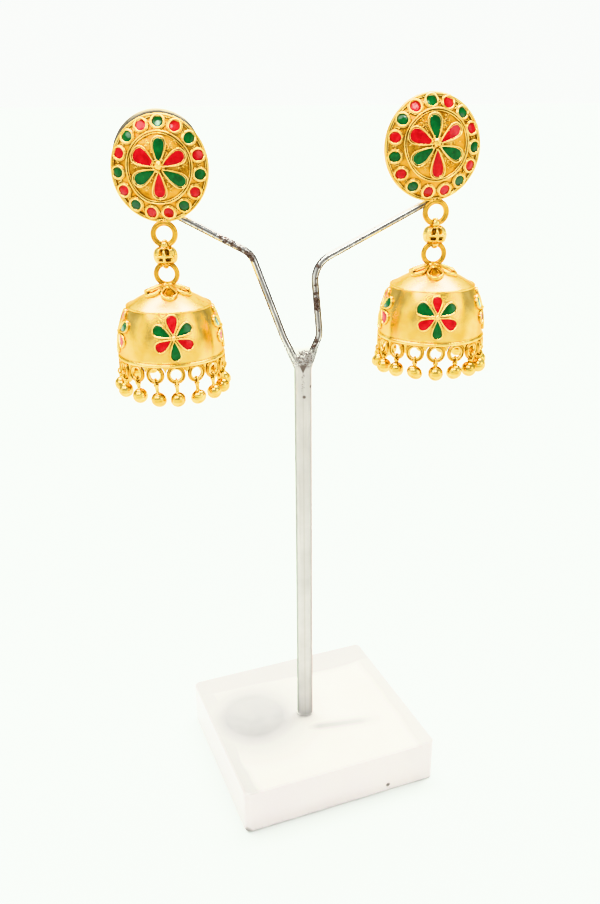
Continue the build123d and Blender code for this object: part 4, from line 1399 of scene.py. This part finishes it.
# ---------------------------------------------------------------- assemble
make_sleeve()
for side_name, row in SIDES.items():
    make_wire(side_name, row)
    make_nut(side_name, row)
    make_stud(side_name, row)
    make_link(side_name, row)
    make_bell(side_name, row)
    drops = np.random.default_rng(row["seed"] + 60)
    for drop in range(LOOP_COUNT):
        make_drop(side_name, row, drop, drops)

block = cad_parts["base_block"]
block.data.materials.clear()
block.data.materials.append(ACRYLIC)

# ---------------------------------------------------------------- floor, light, camera
def make_floor():
    """Pale floor out to the horizon, dimmer in front where no view of the photo goes."""
    mesh = bpy.data.meshes.new("studio_floor")
    size = FLOOR_REACH * MM
    mesh.from_pydata([(-size, -size, 0), (size, -size, 0), (size, size, 0), (-size, size, 0)],
                     [], [(0, 1, 2, 3)])
    floor = put("studio_floor", mesh)
    floor.location.z = -FLOOR_GAP * MM
    paint = Paint("studio_floor")
    paint.set(Roughness=0.9, Specular_IOR_Level=0.0)
    _, y, _ = paint.axes()
    # The floor in front is painted darker: painted shade.
    back = paint.span(y, FLOOR_DIM_Y * MM, FLOOR_LIT_Y * MM)
    tone = paint.mix(paint.span(paint.noise(3, 2.0), 0.3, 0.7), "#B8BAB8", "#BBBDBB")
    paint.set(Base_Color=paint.mix(back, "#848480", tone))
    mesh.materials.append(paint.material)


# Soft lights of the studio: direction, degrees fully lit, degrees to dark, strength
SPOTS = (
    ((-0.32, 0.33, 0.89), 9, 15, 34.0),
    ((0.0, 0.25, 0.97), 11, 17, 44.0),
    ((0.32, 0.33, 0.89), 9, 15, 34.0),
    ((-0.55, -0.45, 0.7), 9, 18, 9.0),
    ((-0.1, -0.62, 0.78), 5, 11, 26.0),
    ((0.8, -0.5, 0.32), 9, 20, 3.4),
    ((-0.9, -0.4, 0.16), 8, 18, 0.9),
    ((0.0, 1.0, -0.05), 24, 34, 1.7),
)
BASE_LIGHT = 0.72
SKY_TINT = (0.965, 0.985, 0.96, 1.0)


def make_world():
    """Plain dim surround with soft light patches, bright behind the stand."""
    world = bpy.data.worlds.new("studio")
    bpy.context.scene.world = world
    world.use_nodes = True
    sky = Nodes(world.node_tree, "Generated")
    total = BASE_LIGHT
    for direction, inner, outer, strength in SPOTS:
        rim, core = (math.cos(math.radians(angle)) for angle in (outer, inner))
        turned = sky.vector("DOT_PRODUCT", sky.where, unit(np.array(direction)))
        light = sky.span(turned, rim, core, 0.0, strength, kind="SMOOTHSTEP")
        total = sky.maths("ADD", light, total)
    background = sky.tree.nodes["Background"]
    background.inputs["Color"].default_value = SKY_TINT
    sky.link(total, background.inputs["Strength"])


make_floor()
make_world()

CAMERA_AT = (-0.97, -199.82, 171.72)
YAW, PITCH, ROLL = -0.25, 22.05, 0.46
LENS = 34.645


def make_camera():
    """Camera of the photo, fitted to the block, the post and the studs."""
    camera = bpy.data.cameras.new("camera")
    camera.lens = LENS
    camera.sensor_fit = "AUTO"
    camera.sensor_width = 36.0
    camera.clip_start, camera.clip_end = 0.005, 50.0
    viewer = put("camera", camera)
    yaw, pitch, tip = (math.radians(a) for a in (YAW, PITCH, ROLL))
    forward = np.array((math.sin(yaw) * math.cos(pitch), math.cos(yaw) * math.cos(pitch),
                        -math.sin(pitch)))
    right = np.array((math.cos(yaw), -math.sin(yaw), 0.0))
    down = np.cross(forward, right)
    across = math.cos(tip) * right + math.sin(tip) * down
    below = -math.sin(tip) * right + math.cos(tip) * down
    turn = Matrix((across, -below, -forward)).transposed().to_4x4()
    viewer.matrix_world = Matrix.Translation(Vector(CAMERA_AT) * MM) @ turn
    bpy.context.scene.camera = viewer


make_camera()
bpy.context.scene.view_settings.view_transform = "Khronos PBR Neutral"
